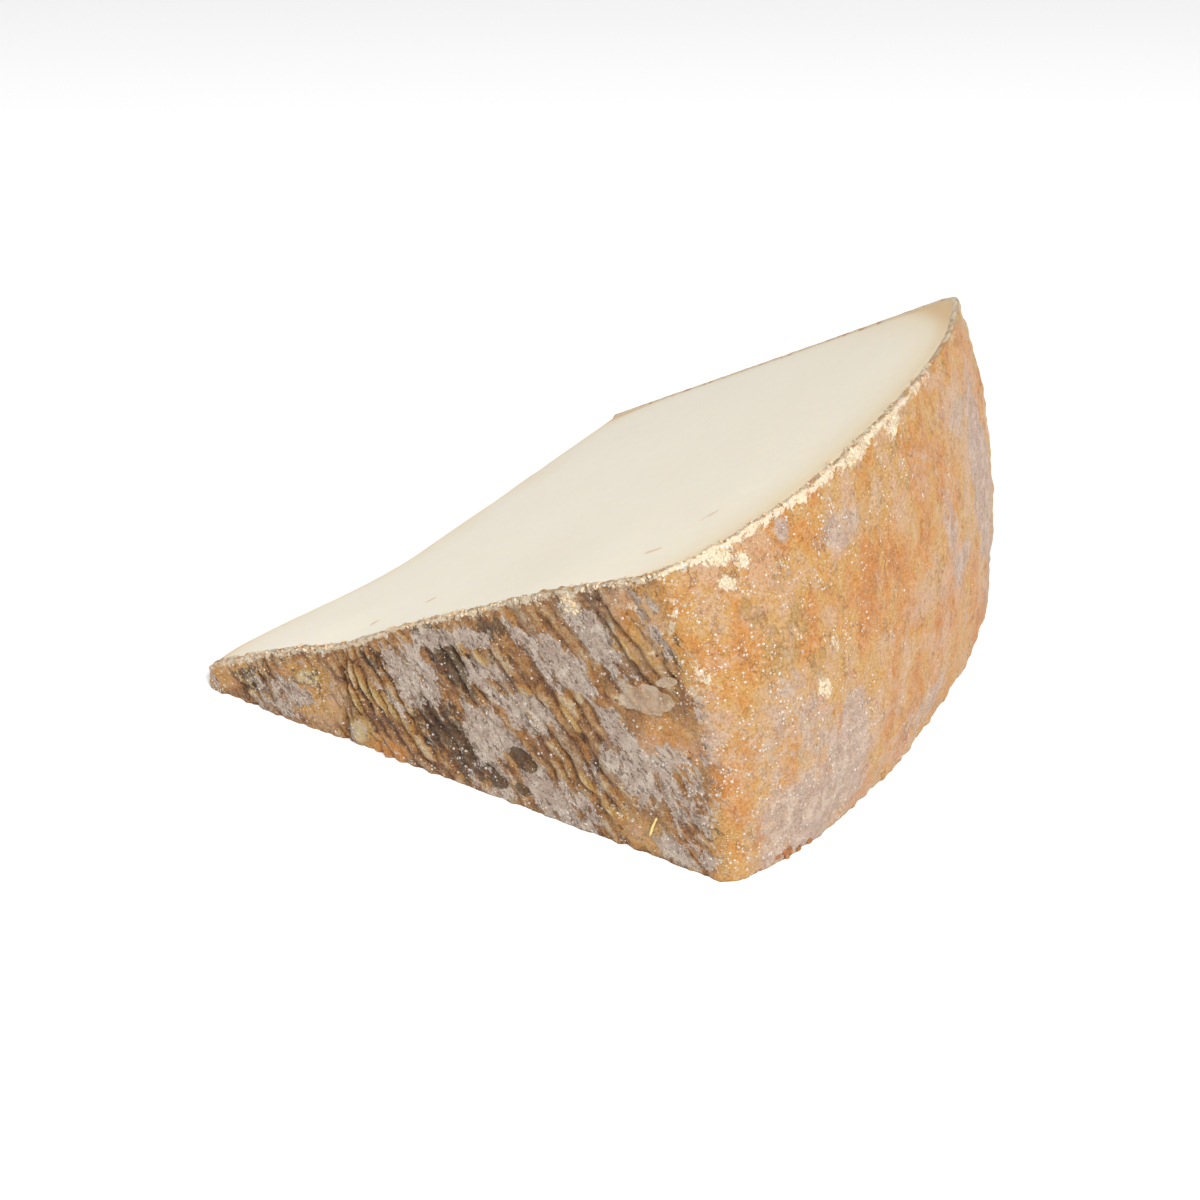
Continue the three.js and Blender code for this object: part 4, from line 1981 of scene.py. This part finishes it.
@dataclass
class Studio:
    """A plain pale floor under broad soft light."""

    floor_size: float = 24.0
    sky_strength: float = 0.62
    key_power: float = 16.5
    key_size: float = 0.55
    key_place: tuple[float, float, float] = (0.76, -0.5, 0.76)
    fill_power: float = 2.5
    fill_place: tuple[float, float, float] = (-0.7, -0.6, 0.5)

    def lamp(self, name: str, stand: tuple[float, float, float], power: float) -> bpy.types.Object:
        """Hangs a round soft lamp, turned to the wedge.

        Args:
            name: Its name.
            stand: Where it hangs, in metres.
            power: Its power, in watts.

        Returns:
            The lamp.
        """
        light = bpy.data.lights.new(name, "AREA")
        light.shape = "DISK"
        light.size = self.key_size
        light.energy = power
        lamp = bpy.data.objects.new(name, light)
        lamp.location = stand
        lamp.rotation_euler = Vector(stand).to_track_quat("Z", "Y").to_euler()
        bpy.context.scene.collection.objects.link(lamp)
        return lamp

    def build(self) -> None:
        """Builds the floor, the lamps and the pale surroundings."""
        shape = bmesh.new()
        bmesh.ops.create_grid(shape, x_segments=4, y_segments=4, size=self.floor_size / 2)
        bmesh.ops.translate(shape, verts=shape.verts, vec=(0, 0, CAD_BOX[0][2]))
        mesh = bpy.data.meshes.new("studio_floor")
        shape.to_mesh(mesh)
        shape.free()
        mesh.materials.append(FloorFinish().material())
        floor = bpy.data.objects.new("studio_floor", mesh)
        bpy.context.scene.collection.objects.link(floor)
        self.lamp("key_lamp", self.key_place, self.key_power)
        self.lamp("fill_lamp", self.fill_place, self.fill_power)
        world = bpy.data.worlds.new("pale_room")
        world.use_nodes = True
        background = world.node_tree.nodes["Background"]
        background.inputs["Color"].default_value = (1.0, 1.0, 1.0, 1.0)
        background.inputs["Strength"].default_value = self.sky_strength
        bpy.context.scene.world = world
        bpy.context.scene.view_settings.view_transform = "Standard"


@dataclass
class Viewpoint:
    """The camera, at the height and turn from which the wedge was seen. It stands in the wheel's frame."""

    stand: tuple[float, float, float] = (211.466, -204.341, 171.742)
    azimuth: float = 33.083
    elevation: float = 28.42
    lens: float = 60.0
    sensor: float = 36.0
    nearest: float = 0.01

    def build(self) -> bpy.types.Object:
        """Sets the camera up.

        Returns:
            The camera.
        """
        data = bpy.data.cameras.new("view_camera")
        data.lens = self.lens
        data.sensor_width = self.sensor
        data.clip_start = self.nearest
        camera = bpy.data.objects.new("view_camera", data)
        turn, rise = math.radians(self.azimuth), math.radians(self.elevation)
        back = Vector((math.sin(turn) * math.cos(rise), -math.cos(turn) * math.cos(rise), math.sin(rise)))
        camera.location = place(*self.stand)
        camera.rotation_euler = back.to_track_quat("Z", "Y").to_euler()
        bpy.context.scene.collection.objects.link(camera)
        bpy.context.scene.camera = camera
        return camera


def main() -> None:
    """Builds the scene in order and reports each piece."""
    logging.basicConfig(level=logging.INFO, format="%(message)s")
    Viewpoint().build()
    Studio().build()
    rind = Rind()
    paste = Paste()
    pieces = [rind.build(), paste.build(), *Crumbs().build(rind), Flakes().build(), StrawChip().build()]
    for piece in pieces:
        LOG.info("%s: %d faces", piece.name, len(piece.data.polygons))


if __name__ == "__main__":
    main()
